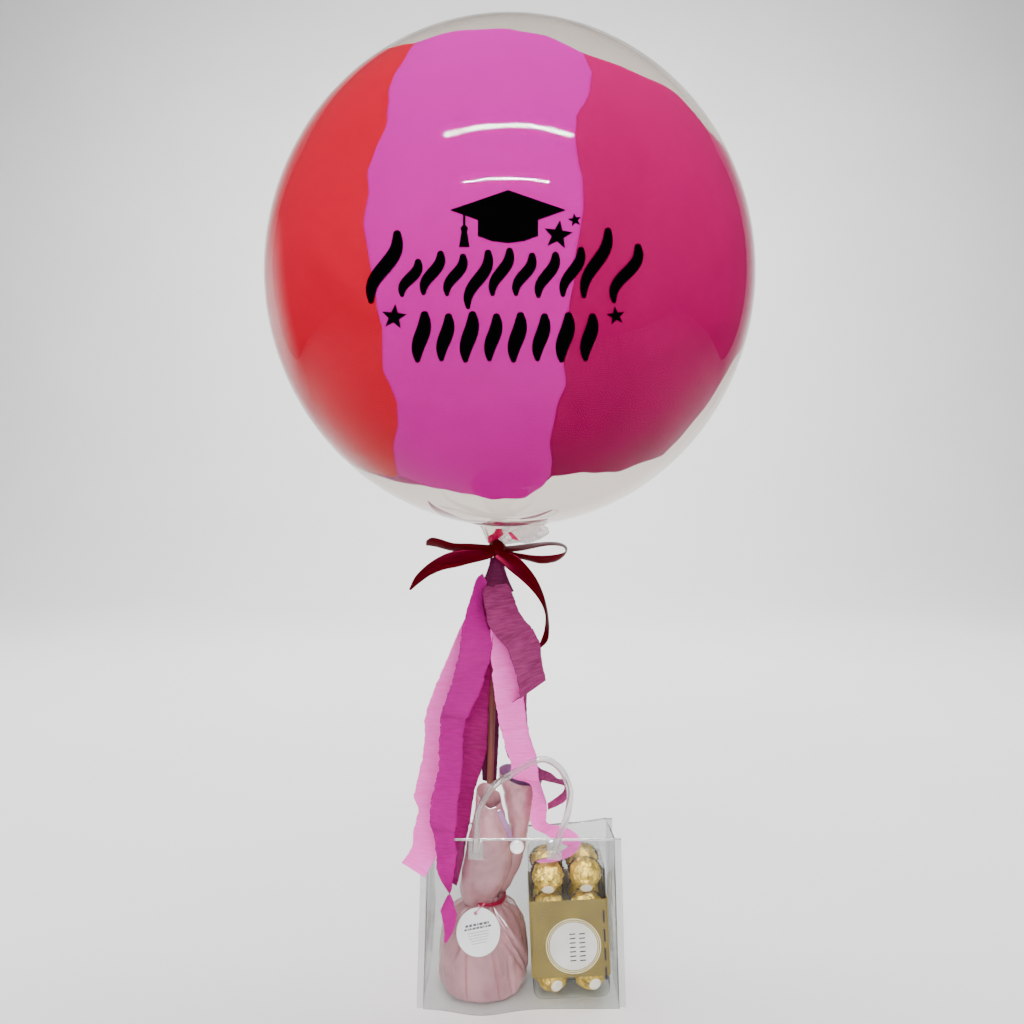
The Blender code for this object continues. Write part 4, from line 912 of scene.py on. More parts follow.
STREAMERS = {
    "fuchsia": [
        (483, 574, 489, 586, -0.0095, 0.0), (476.5, 579, 484.5, 592, -0.0135, 0.004),
        (471.5, 594, 483, 601, -0.0165, 0.010), (466, 613, 485.5, 614, -0.0200, 0.012),
        (462.4, 626, 489, 627, -0.0230, 0.010), (460.5, 641, 492.5, 637, -0.0260, 0.004),
        (459, 655, 491, 654, -0.0290, 0.003), (455, 672, 486, 671, -0.0320, 0.003),
        (449.5, 689, 480.5, 690, -0.0350, 0.004), (441, 713, 469, 714.5, -0.0410, 0.008),
        (440, 721, 465, 722, -0.0470, 0.012), (439, 745, 463.5, 745, -0.0510, 0.012),
        (438.5, 770, 462.5, 770, -0.0530, 0.012), (432, 796, 459, 797, -0.0540, 0.010),
        (429.5, 822, 455.5, 829, -0.0550, 0.008), (433, 832, 454.5, 834, -0.0570, 0.010),
        (436, 851, 456.3, 852, -0.0575, 0.010), (436.8, 868, 454.8, 868, -0.0575, 0.009),
        (441, 880, 453, 880, -0.0570, 0.009), (447.4, 891, 450.6, 892, -0.0560, 0.010),
        (451.5, 897, 446.5, 897, -0.0550, 0.010), (455, 909, 440.3, 910, -0.0535, 0.008),
        (456.5, 916, 441.5, 916, -0.0530, 0.006), (453, 931, 444.5, 930, -0.0525, 0.004),
        (446.5, 943, 444, 942, -0.0520, 0.0),
    ],
    "pale_left": [
        (481, 586, 488, 590, -0.0010, 0.0), (474, 600, 486, 603, -0.0020, 0.006),
        (467, 613, 486, 615, -0.0030, 0.010), (460, 628, 484, 630, -0.0035, 0.010),
        (453, 645, 479, 647, -0.0045, 0.008), (446.7, 660, 474, 662, -0.0060, 0.006),
        (435, 687, 465, 690, -0.0100, 0.004), (425.5, 715, 455, 717, -0.0160, 0.004),
        (424.3, 740, 452, 741, -0.0240, 0.006), (421.7, 760, 450, 762, -0.0300, 0.006),
        (416, 786, 445, 790, -0.0360, 0.006), (414, 797, 443, 800, -0.0385, 0.006),
        (418.3, 810, 446, 812, -0.0410, 0.006), (413.5, 830, 442, 834, -0.0440, 0.006),
        (411.7, 847, 439, 850, -0.0455, 0.006), (401.7, 863, 425, 878, -0.0465, 0.004),
    ],
    "magenta": [
        (480, 590, 488, 594, -0.0065, 0.0), (474, 620, 490, 622, -0.0085, 0.010),
        (468, 645, 491.5, 648, -0.0100, 0.012), (463, 672, 491.5, 672, -0.0115, 0.010),
        (462, 700, 489, 703, -0.0125, 0.010), (460, 722, 488, 725, -0.0140, 0.010),
        (459, 745, 486.5, 748, -0.0160, 0.010), (457, 757, 483, 766, -0.0175, 0.012),
        (453, 785, 476, 788, -0.0190, 0.018), (450, 812, 470.5, 815, -0.0200, 0.020),
        (449, 835, 466, 838, -0.0205, 0.022), (448, 858, 463, 860, -0.0205, 0.022),
        (450, 882, 457, 886, -0.0205, 0.018),
    ],
    "mauve": [
        (486, 586, 507, 584, -0.0130, 0.0), (482.7, 594, 511.5, 591, -0.0170, 0.004),
        (485.9, 613, 517.6, 608, -0.0215, 0.003), (488, 624, 522, 616, -0.0235, 0.002),
        (493.5, 632, 530.5, 626, -0.0250, 0.0), (506, 647.5, 534, 631, -0.0280, 0.004),
        (508.5, 653, 539.7, 643, -0.0280, 0.003), (515, 672.5, 542.5, 663.5, -0.0290, 0.006),
        (519, 688, 545, 675, -0.0288, 0.005), (520, 698, 546, 680.5, -0.0275, 0.004),
        (520, 698, 546, 680.5, -0.0262, 0.004), (509, 705, 530, 690, -0.0165, 0.003),
        (505, 712, 527, 696, -0.0140, 0.003), (503, 724, 527, 714, -0.0125, 0.004),
        (504, 740, 528.5, 737, -0.0120, 0.006), (508, 757, 530, 755, -0.0080, 0.006),
        (519, 772, 536, 764, -0.0060, 0.012), (533, 779, 541, 769, -0.0060, 0.018),
        (545, 781, 551, 773, -0.0080, 0.020), (556, 783.5, 558, 778.5, -0.0105, 0.020),
        (564, 786, 567, 779.5, -0.0125, 0.018), (563, 791, 569, 789, -0.0130, 0.016),
        (560, 794, 566, 800, -0.0125, 0.014), (553, 799, 557.5, 806, -0.0115, 0.012),
        (547.3, 802.6, 548, 810.5, -0.0100, 0.008),
    ],
    "pale_right": [
        (489, 606, 497, 604, -0.0100, 0.010), (490, 625, 500, 622, -0.0130, 0.018),
        (491.5, 640, 510, 638, -0.0155, 0.020), (491.3, 660, 517, 659, -0.0180, 0.018),
        (493, 683, 522, 682, -0.0200, 0.014), (496.5, 707, 525, 708.5, -0.0215, 0.015),
        (500.7, 730, 528, 730, -0.0232, 0.015), (507, 752, 534.5, 750, -0.0245, 0.015),
        (511.5, 765, 537.5, 767, -0.0252, 0.015), (512.2, 777.5, 539.2, 780, -0.0258, 0.016),
        (530, 784.5, 540.5, 784, -0.0240, 0.022), (532.2, 801, 546, 801, -0.0220, 0.022),
        (531, 812, 546.6, 812, -0.0190, 0.022), (530.6, 821.5, 546, 821, -0.0150, 0.018),
        (534, 829, 551, 824.5, -0.0130, 0.010), (545, 834, 558, 825.5, -0.0120, 0.010),
        (556, 841, 567, 827.5, -0.0130, 0.008), (568, 846, 580, 838, -0.0160, 0.004),
        (566, 848, 579.5, 847, -0.0200, 0.004), (560, 852, 572, 855, -0.0260, -0.004),
        (551, 856, 560, 860, -0.0300, -0.004), (543, 859, 552, 862, -0.0325, -0.003),
        (536, 861, 540, 863, -0.0335, 0.0),
    ],
    # The streamer behind the stick is coloured dark plum as painted shade.
    "plum": [
        (482, 590, 498, 590, 0.0090, 0.012), (483, 640, 501, 640, 0.0100, 0.018),
        (483, 690, 502, 690, 0.0105, 0.020), (481, 735, 499, 735, 0.0105, 0.022),
        (482, 780, 496, 784, 0.0090, 0.020),
    ],
}
# Paper, places of the pressed folds along the strip, height of the slow waves and depth of the ragged edge
STREAMER_LOOKS = {
    "fuchsia": (FUCHSIA_CREPE, (0.146, 0.258), 0.0010, 0.11),
    "pale_left": (PALE_CREPE, (0.10, 0.18), 0.0016, 0.07),
    "magenta": (MAGENTA_CREPE, (0.150,), 0.0016, 0.05),
    "mauve": (MAUVE_CREPE, (0.022, 0.055), 0.0012, 0.05),
    "pale_right": (PALE_CREPE, (0.06, 0.12), 0.0008, 0.07),
    "plum": (PLUM_SHADE_CREPE, (0.09,), 0.0012, 0.05),
}
FOLD_REACH = 0.0035
FOLD_RISE = 0.0016
CREPE_WALL = 0.0002


def crepe_lift(seed, folds, wave):
    """How far the paper stands off its middle surface: slow waves, fine ribs across, and pressed folds."""

    def lift(along, a):
        slow = wave * wobble(seed, along * 32, a * 0.35)
        ribs = 0.00030 * wobble(seed + 1, along * 640, a * 1.6)
        pressed = sum(max(0.0, 1 - abs(along - fold + 0.002 * a) / FOLD_REACH) for fold in folds)
        return slow + ribs + FOLD_RISE * pressed

    return lift


def ragged(seed, depth):
    def jag(along, side):
        return depth * (wobble(seed, along * 170, side * 5) + 0.5 * wobble(seed, along * 520, side * 9))

    return jag


def make_streamers():
    for seed, (name, rows) in enumerate(STREAMERS.items(), start=40):
        material, folds, wave, rag = STREAMER_LOOKS[name]
        lift = crepe_lift(seed, folds, wave)
        points, length = edge_rows(rows, 0.0006, 14, CREPE_WIDTH, lift, ragged(seed, rag))
        mesh = sheet_mesh(f"crepe_{name}", points, spread=(CREPE_WIDTH, length))
        slot = "crepe_pale" if name.startswith("pale") else f"crepe_{name}"
        strip = add_piece(f"crepe_{name}", mesh, material, slot, (f"streamer_{name}",), wall=CREPE_WALL)


# The wrap's girth and height laid flat, its top and how far it hangs, its radius and how far it flares
WRAP_FLAT = (0.075, 0.042)
WRAP_TOP, WRAP_DROP = 0.4102, 0.0322
WRAP_RADIUS, WRAP_FLARE = 0.0062, 0.0106


def make_wrap():
    """The crepe gathered round the neck and stick under the bow, coloured dark plum as painted shade."""
    name = "crepe_wrap_gather"
    rows = []
    for i in range(71):
        share = i / 70
        height = WRAP_TOP - WRAP_DROP * share
        axis = stick_xy(height)
        row = []
        for k in range(145):
            angle = math.tau * k / 144
            out = on_circle(angle)
            radius = WRAP_RADIUS + WRAP_FLARE * share**1.6
            flutes = 0.05 * math.cos(7 * angle + 1.3 * share) + 0.05 * wobble(61, out.x * 5, out.y * 5, share)
            ribs = 0.00022 * wobble(62, share * 30, angle * 3)
            reach = radius * (1 + flutes * (0.4 + share)) + ribs
            dip = 0.0012 * share * wobble(63, out.x * 3, out.y * 3)
            row.append(Vector((axis.x, axis.y, height + dip)) + out * reach)
        rows.append(row)
    mesh = clean(sheet_mesh(name, rows, spread=WRAP_FLAT))
    wrap = add_piece(name, mesh, PLUM_SHADE_CREPE, "crepe_plum", ("crepe_wrap",), wall=0.0003, offset=1.0)


# Wrapped foot and its collar


PAPER_WALL = 0.0003
# Radius and height from the middle of the base up to the tied neck
FOOT_PROFILE = [
    (0.0, 0.0009), (0.0150, 0.0009), (0.0290, 0.0010), (0.0375, 0.0028),
    (0.0420, 0.0095), (0.0436, 0.0240), (0.0425, 0.0440), (0.0385, 0.0600),
    (0.0300, 0.0725), (0.0200, 0.0795), (0.0160, 0.0830), (0.0172, 0.0875),
]
# Creases: angle at the low and the high end, where they start and end, half-width in degrees and depth
FOOT_CREASES = [
    (-19, -21, 0.02, 0.66, 2.6, 0.0050),
    (27, 14, 0.03, 0.62, 2.6, 0.0050),
    (62, 10, 0.30, 1.00, 3.5, 0.0055),
    (80, 22, 0.20, 0.98, 3.5, 0.0050),
    (45, 34, 0.04, 0.50, 2.6, 0.0040),
    (-42, -16, 0.45, 1.00, 3.5, 0.0045),
    (-70, -50, 0.25, 1.00, 5, 0.0040),
    (120, 110, 0.20, 1.00, 5, 0.0040),
    (165, 170, 0.20, 1.00, 5, 0.0040),
    (-125, -120, 0.20, 1.00, 5, 0.0040),
]


def foot_offset(angle, share, place):
    """How far the paper stands in or out at an angle in degrees from the front: pleats, creases, crumples."""
    total = 0.0010 * share**3 * math.cos(17 * math.radians(angle) + 0.6)
    for low, high, start, end, width, depth in FOOT_CREASES:
        if start <= share <= end:
            middle = low + (high - low) * (share - start) / (end - start)
            signed = (angle - middle + 180) % 360 - 180
            apart = abs(signed)
            window = math.sin(math.pi * (share - start) / (end - start)) ** 0.5
            total -= depth * window * max(0.0, 1 - apart / width)
            total += 0.0014 * window * max(-1.0, min(1.0, signed / width)) * math.exp(-apart / 14)
    total += 0.0030 * (crease(71, place, 38) - 0.30) + 0.0012 * (crease(72, place, 95) - 0.25)
    return total


def make_foot():
    columns = 400
    rows = []
    for radius, height in smooth_rows(FOOT_PROFILE, 7):
        share = min(1.0, height / FOOT_HEIGHT)
        neck_shift = (stick_xy(FOOT_HEIGHT).x - FOOT_CENTRE.x) * share**4
        row = []
        for k in range(columns):
            angle = 360 * k / columns - 180
            out = Vector((math.sin(math.radians(angle)), -math.cos(math.radians(angle)), 0.0))
            place = out * radius + Vector((0, 0, height))
            inset = foot_offset(angle, share, place) if height > 0.0020 else 0.0
            reach = max(0.0, radius + inset * min(1.0, radius / 0.03))
            row.append(FOOT_CENTRE + out * reach + Vector((neck_shift, 0, height)))
        rows.append(row)
    mesh = clean(sheet_mesh("foot_paper", rows, closed=True))
    add_piece("foot_paper", mesh, PINK_PAPER, "pink_paper", ("wrapped_foot",), wall=PAPER_WALL, offset=-1.0)


# The paper above the tie. Rings: left and right in photo pixels, height in pixels, depth, half-depth.
# Rim: how far it rises at the front left, front right, back left and back right.
COLLAR_LEAVES = {
    "collar_left": dict(
        rings=[
            (462, 496, 900, -0.0060, 0.0150), (459.5, 503, 886, -0.0080, 0.0150),
            (462, 511, 868, -0.0100, 0.0130), (466, 511, 850, -0.0120, 0.0120),
            (470, 508, 834, -0.0140, 0.0105), (474, 504.5, 819, -0.0150, 0.0095),
            (477, 502, 803, -0.0155, 0.0090),
        ],
        rim=(0.0010, -0.0045, 0.0205, 0.0090),
        shade_lined=False,
    ),
    "collar_right": dict(
        rings=[
            (484, 503, 896, 0.0030, 0.0080), (487, 512, 882, 0.0040, 0.0090), (493, 520, 866, 0.0040, 0.0095),
            (503, 525, 850, 0.0030, 0.0095), (509, 528, 834, 0.0020, 0.0100), (506, 532, 815, 0.0010, 0.0110),
            (502, 538, 795, 0.0000, 0.0120), (499, 543, 784, 0.0000, 0.0125),
        ],
        rim=(0.0060, 0.0000, 0.0200, 0.0060),
        shade_lined=True,
    ),
}


# A narrow strip of the darker lilac down the left leaf's front edge: painted shade.
COLLAR_TURNED_EDGE = [
    (496.5, 811, 501.0, 809, -0.0262, 0.001), (500.5, 820, 505.5, 818, -0.0262, 0.001),
    (505.0, 830, 510.0, 828, -0.0256, 0.001), (509.5, 842, 513.0, 839, -0.0240, 0.001),
]


def collar_row(seed, ring, share, rim):
    """One level of a collar leaf, crumpled, and drawn up towards its rim."""
    left, right, v, y, half_depth = ring
    front_left, front_right, back_left, back_right = rim
    west, east = at_depth(left, v, y), at_depth(right, v, y)
    centre, half = (west + east) / 2, (east.x - west.x) / 2
    row = []
    for k in range(121):
        out = on_circle(math.tau * k / 120)
        to_right, to_back = (1 + out.x) / 2, (1 + out.y) / 2
        front_rise = front_left + (front_right - front_left) * to_right
        back_rise = back_left + (back_right - back_left) * to_right
        rise = (front_rise + (back_rise - front_rise) * to_back**0.7) * share**3
        place = centre + Vector((half * out.x, half_depth * out.y, rise))
        plates = 0.0030 * (crease(seed, place, 40) - 0.25) + 0.0010 * (crease(seed, place, 110) - 0.25)
        row.append(place + out * (plates * min(1.0, half / 0.01)))
    return row


def make_collar():
    for seed, (name, leaf) in enumerate(COLLAR_LEAVES.items(), start=80):
        rings = smooth_rows(leaf["rings"], 8)
        last = len(rings) - 1
        rows = [collar_row(seed, ring, index / last, leaf["rim"]) for index, ring in enumerate(rings)]
        mesh = clean(sheet_mesh(name, rows), turn=False)
        piece = add_piece(name, mesh, PINK_PAPER, "pink_paper", wall=PAPER_WALL, offset=-1.0)
        # The right leaf's inner face is the darker lilac: painted shade inside its mouth.
        if leaf["shade_lined"]:
            mesh.materials.append(LILAC_SHADE_PAPER)
            piece.modifiers["thickness"].material_offset = 1
    name = "collar_turned_edge"
    points, _ = edge_rows(COLLAR_TURNED_EDGE, 0.001, 4, 0.004, straight, straight)
    add_piece(name, sheet_mesh(name, points), LILAC_SHADE_PAPER, "pink_paper", wall=PAPER_WALL)


FOOT_TIE_RADIUS = 0.0182
FOOT_TIE_THREAD = 0.0009


def make_foot_tie():
    """Two turns of red cord round the paper's neck."""
    centre = Vector((stick_xy(FOOT_HEIGHT).x, FOOT_CENTRE.y, FOOT_HEIGHT + 0.0004))
    for turn in range(2):
        rows = []
        for i in range(97):
            angle = math.tau * i / 96
            out = on_circle(angle)
            height = (turn - 0.5) * 2 * FOOT_TIE_THREAD + 0.0006 * math.sin(angle * 2 + turn)
            reach = FOOT_TIE_RADIUS + 0.0002 * math.cos(9 * angle)
            middle = centre + out * reach + Vector((0, 0, height))
            row = []
            for k in range(11):
                around = on_circle(math.tau * k / 10, FOOT_TIE_THREAD)
                row.append(middle + out * around.x + Vector((0, 0, around.y)))
            rows.append(row)
        replaces = ("foot_tie",) if turn == 0 else ()
        name = f"foot_tie_turn_{turn + 1}"
        add_piece(name, clean(sheet_mesh(name, rows)), RED_TIE, "red_satin", replaces)


# Tag


TAG_RADIUS = 0.020
TAG_HOLE_UP = 0.0155
TAG_HOLE_RADIUS = 0.0016
TAG_LEAN = math.radians(20)
TAG_ROLL = math.radians(-10)
TAG_CENTRE = Vector((-0.0290, -0.0425, 0.0690))
TAG_WALL = 0.0006
PRINT_WALL = 0.00008
TAG_THREAD_RADIUS = 0.0005


def tag_matrix():
    upright = Matrix.Rotation(math.radians(90), 4, "X")
    lean = Matrix.Rotation(-TAG_LEAN, 4, "X")
    roll = Matrix.Rotation(TAG_ROLL, 4, "Y")
    return Matrix.Translation(TAG_CENTRE) @ lean @ roll @ upright


def flat_shape(name, outlines, thickness, material, matrix, slot=None, replaces=()):
    """A flat plate from closed outlines, inner ones as holes, thickened about its own plane."""
    curve = bpy.data.curves.new(name, "CURVE")
    curve.dimensions = "2D"
    curve.fill_mode = "BOTH"
    curve.extrude = thickness / 2
    for outline in outlines:
        spline = curve.splines.new("POLY")
        spline.points.add(len(outline) - 1)
        for point, (x, y) in zip(spline.points, outline):
            point.co = (x, y, 0.0, 1.0)
        spline.use_cyclic_u = True
    temporary = link(name, curve)
    mesh = bpy.data.meshes.new_from_object(temporary.evaluated_get(bpy.context.evaluated_depsgraph_get()))
    bpy.data.objects.remove(temporary)
    mesh.name = name
    mesh.transform(matrix)
    clean(mesh)
    return add_piece(name, mesh, material, slot, replaces, sharp=30)


def circle(x, y, radius, count):
    places = [on_circle(math.tau * index / count, radius) for index in range(count)]
    return [(x + place.x, y + place.y) for place in places]


def make_tag():
    """The round tag, with rows of short strokes in place of its print."""
    matrix = tag_matrix()
    outlines = [circle(0, 0, TAG_RADIUS, 72), circle(0, TAG_HOLE_UP, TAG_HOLE_RADIUS, 20)[::-1]]
    flat_shape("card_tag", outlines, TAG_WALL, WHITE_CARD, matrix, "white_card", ("tag",))
    surface = matrix @ Matrix.Translation((0, 0, 0.00038))
    # Rows of strokes: height on the tag, half-length and half-thickness
    rows = [(0.0062, 0.011, 0.0011), (0.0034, 0.0125, 0.0009)]
    rows += [(-0.0002 - 0.0022 * k, 0.010 - 0.0007 * k, 0.00028) for k in range(5)]
    rng = random.Random(5)
    for index, (y, half, thick) in enumerate(rows):
        x = -half
        outlines = []
        while x < half - 0.001:
            end = min(half, x + rng.uniform(0.0012, 0.0034))
            outlines.append([(x, y - thick), (end, y - thick * 0.9), (end, y + thick), (x, y + thick * 0.8)])
            x = end + rng.uniform(0.0005, 0.0009)
        flat_shape(f"tag_print_{index + 1}", outlines, PRINT_WALL, GREY_PRINT, surface)


def swept_tube(name, path, radius, segments, material, slot, replaces=(), wall=None, spacing=0.001):
    """A round tube along a path, with mitred rings that don't twist."""
    _, table = evenly(smooth_rows([tuple(p) for p in path], 10), spacing)
    rows, side = [], None
    for index in range(len(table)):
        ahead = Vector(table[min(index + 1, len(table) - 1)]) - Vector(table[max(index - 1, 0)])
        ahead.normalize()
        if side is None:
            side = ahead.orthogonal().normalized()
        side = (side - ahead * side.dot(ahead)).normalized()
        up = ahead.cross(side)
        row = []
        for k in range(segments):
            out = on_circle(math.tau * k / segments)
            row.append(Vector(table[index]) + (side * out.x + up * out.y) * radius)
        rows.append(row)
    mesh = sheet_mesh(name, rows, closed=True)
    if wall is None:
        bm = bmesh.new()
        bm.from_mesh(mesh)
        bmesh.ops.holes_fill(bm, edges=[edge for edge in bm.edges if edge.is_boundary], sides=0)
        bmesh.ops.recalc_face_normals(bm, faces=bm.faces)
        bm.to_mesh(mesh)
        bm.free()
    return add_piece(name, mesh, material, slot, replaces, wall=wall, offset=-1.0, clear=wall is not None)


def make_tag_loop():
    """The tag's thread: from the foot's tie through the tag's hole and back."""
    hole = tag_matrix() @ Vector((0.0, TAG_HOLE_UP, 0.0))
    normal = (tag_matrix().to_3x3() @ Vector((0.0, 0.0, 1.0))).normalized()
    tie = Vector((hole.x + 0.006, -0.0236, FOOT_HEIGHT + 0.001))
    path = [
        tie, tie + Vector((0.002, -0.006, 0.004)), hole + normal * 0.0025 + Vector((0.002, 0, 0.003)),
        hole + normal * 0.0022, hole - normal * 0.0030,
        tie + Vector((-0.003, -0.003, -0.002)), tie + Vector((-0.004, 0.0004, 0.0)),
    ]
    replaces = ("tag_loop",)
    swept_tube("tag_thread", path, TAG_THREAD_RADIUS, 8, THREAD, "pink_thread", replaces, spacing=0.0008)


# Clear bag


def bag_half_width(height):
    return (BAG_WIDTH - BAG_TAPER * height / BAG_HEIGHT) / 2


def bag_front(x, height):
    plane = -BAG_DEPTH / 2 + BAG_FRONT_LEAN * min(height, BAG_HEIGHT) / BAG_HEIGHT
    above_foot = (height - FOOT_HEIGHT * 0.80) / (FOOT_HEIGHT * 0.55)
    fade = max(0.0, min(1.0, 1.0 - above_foot))
    beside = (x - FOOT_CENTRE.x) / BAG_BULGE_REACH
    return plane - BAG_BULGE * fade * math.exp(-(beside**2))


def bag_back(height):
    return BAG_DEPTH / 2 - BAG_BACK_LEAN * (height / BAG_HEIGHT) ** 1.5


def bag_rim(across, back):
    return BAG_HEIGHT - back * (BAG_BACK_DROP + BAG_BACK_SAG * (1 - across**2))


def film_wrinkle(x, height, seed):
    """Wrinkles of the bag's film: soft waves, and sharper creases that run up from the corners."""
    share = height / BAG_HEIGHT
    edge = min(1.0, share * 5, (1.02 - share) * 8)
    soft = 0.0011 * wobble(seed, x * 30, height * 22)
    sharp = 0.0014 * (crease(seed, Vector((x, 0.3 * height, height * 0.6)), 42) - 0.2)
    return max(0.0, edge) * (soft + sharp)


BAG_FILM_WALL = 0.0004
WELD_WALL = 0.0003
SEAM_WIDTH = 0.0060
# Walls of the bag: columns, start and end (across from -1 to 1, back from 0 to 1), dent, and wrinkle seed
BAG_WALLS = (
    (72, (-1.0, 0.0), (1.0, 0.0), 0.0, 91),
    (30, (1.0, 0.0), (1.0, 1.0), -0.0040, 92),
    (72, (1.0, 1.0), (-1.0, 1.0), 0.0, 93),
    (30, (-1.0, 1.0), (-1.0, 0.0), 0.0040, 94),
)


def bag_ring(share):
    """One level of the bag, round its four sides; the corners are shared."""
    ring = []
    for columns, start, end, dent, seed in BAG_WALLS:
        for k in range(columns):
            across, back = (low + (high - low) * k / columns for low, high in zip(start, end))
            height = bag_rim(across, back) * share
            x = BAG_CENTRE_X + across * bag_half_width(height)
            near, far = bag_front(x, height), bag_back(height)
            point = Vector((x, near + (far - near) * back, height))
            swell = math.sin(math.pi * k / columns)
            wrinkle = film_wrinkle(point.y if dent else point.x, height, seed) * swell
            if dent:
                point.x += wrinkle + dent * swell * math.sin(math.pi * min(1.0, share * 1.2))
            else:
                point.y += wrinkle
            ring.append(point)
    return ring


def make_bag():
    rows = []
    floor = bag_ring(0.0)
    middle = Vector((BAG_CENTRE_X, 0.0, 0.0))
    for share in (0.0, 0.5, 0.9):
        rows.append([middle + (point - middle) * share for point in floor])
    for level in range(61):
        rows.append(bag_ring(level / 60))
    mesh = clean(sheet_mesh("bag_film", rows, closed=True))
    looks = dict(sharp=50, wall=BAG_FILM_WALL, offset=-1.0, clear=True)
    add_piece("bag_film", mesh, BAG_FILM, "clear_film", ("bag",), **looks)
    for side in (-1, 1):
        for back in (0.0, 1.0):
            make_seam(side, back)
    make_rim()


def make_seam(side, back):
    """A welded side seam: a flat strip with fine lines down it."""
    rows = []
    for level in range(61):
        height = bag_rim(1.0, back) * level / 60
        height = min(max(height, 0.0005), bag_rim(1.0, back) - 0.0003)
        x = BAG_CENTRE_X + side * bag_half_width(height)
        y = bag_front(x, height) if back == 0.0 else bag_back(height)
        inward = 1 if back == 0.0 else -1
        row = []
        for k in range(25):
            out = k / 24
            ridges = 0.00016 * math.cos(math.tau * 5 * out)
            wave = 0.0007 * out * wobble(95 + side, height * 40, back)
            row.append(Vector((x + side * SEAM_WIDTH * out, y + inward * 0.0007 + ridges + wave, height)))
        rows.append(row)
    name = "bag_seam_" + ("right" if side > 0 else "left") + ("_back" if back else "_front")
    add_piece(name, clean(sheet_mesh(name, rows)), WELD_FILM, "clear_film", wall=WELD_WALL, clear=True)


def make_rim():
    """The bag's top edge: a narrow doubled band of film."""
    middle = Vector((BAG_CENTRE_X, 0.0, BAG_HEIGHT))
    rows = []
    for share in (1.0, 0.985):
        rows.append([point + (point - middle).normalized() * 0.00035 for point in bag_ring(share)])
    mesh = clean(sheet_mesh("bag_rim", rows, closed=True))
    add_piece("bag_rim", mesh, WELD_FILM, "clear_film", wall=WELD_WALL, clear=True)


HANDLE_SHARES = [
    (0.00, 0.00), (0.01, 0.16), (0.04, 0.44), (0.22, 0.70), (0.44, 0.83), (0.65, 0.94), (0.83, 1.00),
    (0.97, 0.97), (1.09, 0.88), (1.17, 0.74), (1.20, 0.60), (1.15, 0.36), (1.04, 0.12), (1.00, 0.00),
]
HANDLE_LEFT, HANDLE_SPAN, HANDLE_RISE = -0.03145, 0.0725, 0.085
HANDLE_RADIUS = 0.0031
HANDLE_WALL = 0.0009
HANDLE_STAND_OFF = 0.0049
WELD_Z = 0.1425
WELD_HALF_WIDTH, WELD_HALF_HEIGHT = 0.0068, 0.0088


def make_handle():
    """The clear tube over the bag's mouth, and the crushed weld at each of its ends."""
    y = bag_front(HANDLE_LEFT, WELD_Z) - HANDLE_STAND_OFF
    path = []
    for along, up in HANDLE_SHARES:
        path.append(Vector((HANDLE_LEFT + HANDLE_SPAN * along, y, WELD_Z + HANDLE_RISE * up)))
    looks = dict(replaces=("bag_handle",), wall=HANDLE_WALL, spacing=0.002)
    swept_tube("handle_tube", path, HANDLE_RADIUS, 20, TUBE, "clear_tube", **looks)
    make_weld("left", HANDLE_LEFT)
    make_weld("right", HANDLE_LEFT + HANDLE_SPAN)


def make_weld(side, x):
    rows = []
    for i in range(33):
        v = 2 * i / 32 - 1
        height = WELD_Z + WELD_HALF_HEIGHT * v
        row = []
        for k in range(29):
            u = 2 * k / 28 - 1
            place = Vector((x + WELD_HALF_WIDTH * u, 0, height))
            edge = (1 - abs(u) ** 4) * (1 - abs(v) ** 4)
            crushed = 0.0030 * edge * (crease(96, place, 240) + 0.10)
            hump = 0.0012 * edge * math.exp(-((u * 2.2) ** 2))
            row.append(Vector((place.x, bag_front(x, height) - 0.0006 - crushed - hump, height)))
        rows.append(row)
    name, replaces = f"weld_patch_{side}", (f"handle_weld_{side}",)
    add_piece(name, sheet_mesh(name, rows), WELD_FILM, "clear_film", replaces, wall=WELD_WALL, clear=True)


SNAP_X, SNAP_Z = 0.0066, 0.1450
# Radius of the press button, and how far it stands off the film
SNAP_PROFILE = [
    (0.0, 0.0023), (0.0020, 0.0023), (0.0026, 0.0019), (0.0034, 0.0019), (0.0040, 0.0023),
    (0.0052, 0.0021), (0.0061, 0.0014), (0.0064, 0.0007), (0.0065, 0.0), (0.0, 0.0),
]


def make_snap():
    name, count = "press_button", 48
    centre = Vector((SNAP_X, bag_front(SNAP_X, SNAP_Z) - 0.0004, SNAP_Z))
    rows = []
    for radius, out in SNAP_PROFILE:
        ring = [on_circle(math.tau * k / count, radius) for k in range(count)]
        rows.append([centre + Vector((place.x, -out, place.y)) for place in ring])
    mesh = clean(sheet_mesh(name, rows, closed=True))
    add_piece(name, mesh, WHITE_PLASTIC, "white_plastic", ("snap_button",), sharp=35)


# Sweets box


def box_matrix():
    return Matrix.Translation(BOX_CORNER_AT) @ Matrix.Rotation(BOX_ROLL, 4, "Y")


def rounded_rectangle(width, height, corner, inset, count=8):
    """The outline of the box seen from the front, as x and z."""
    points = []
    radius = max(0.0005, corner - inset)
    left, right, low, high = corner, width - corner, corner, height - corner
    for cx, cz, start in ((right, high, 0), (left, high, 90), (left, low, 180), (right, low, 270)):
        for step in range(count + 1):
            angle = math.radians(start + 90 * step / count)
            points.append((cx + radius * math.cos(angle), cz + radius * math.sin(angle)))
    return points


BOX_CORNER = 0.009
BOX_FILM_WALL = 0.0004
# The box's rounded front edge: how far it is drawn in, and how far back
BOX_EDGE = ((0.0042, 0.0), (0.0030, 0.0002), (0.0016, 0.0009), (0.0006, 0.0022), (0.0, 0.0042))


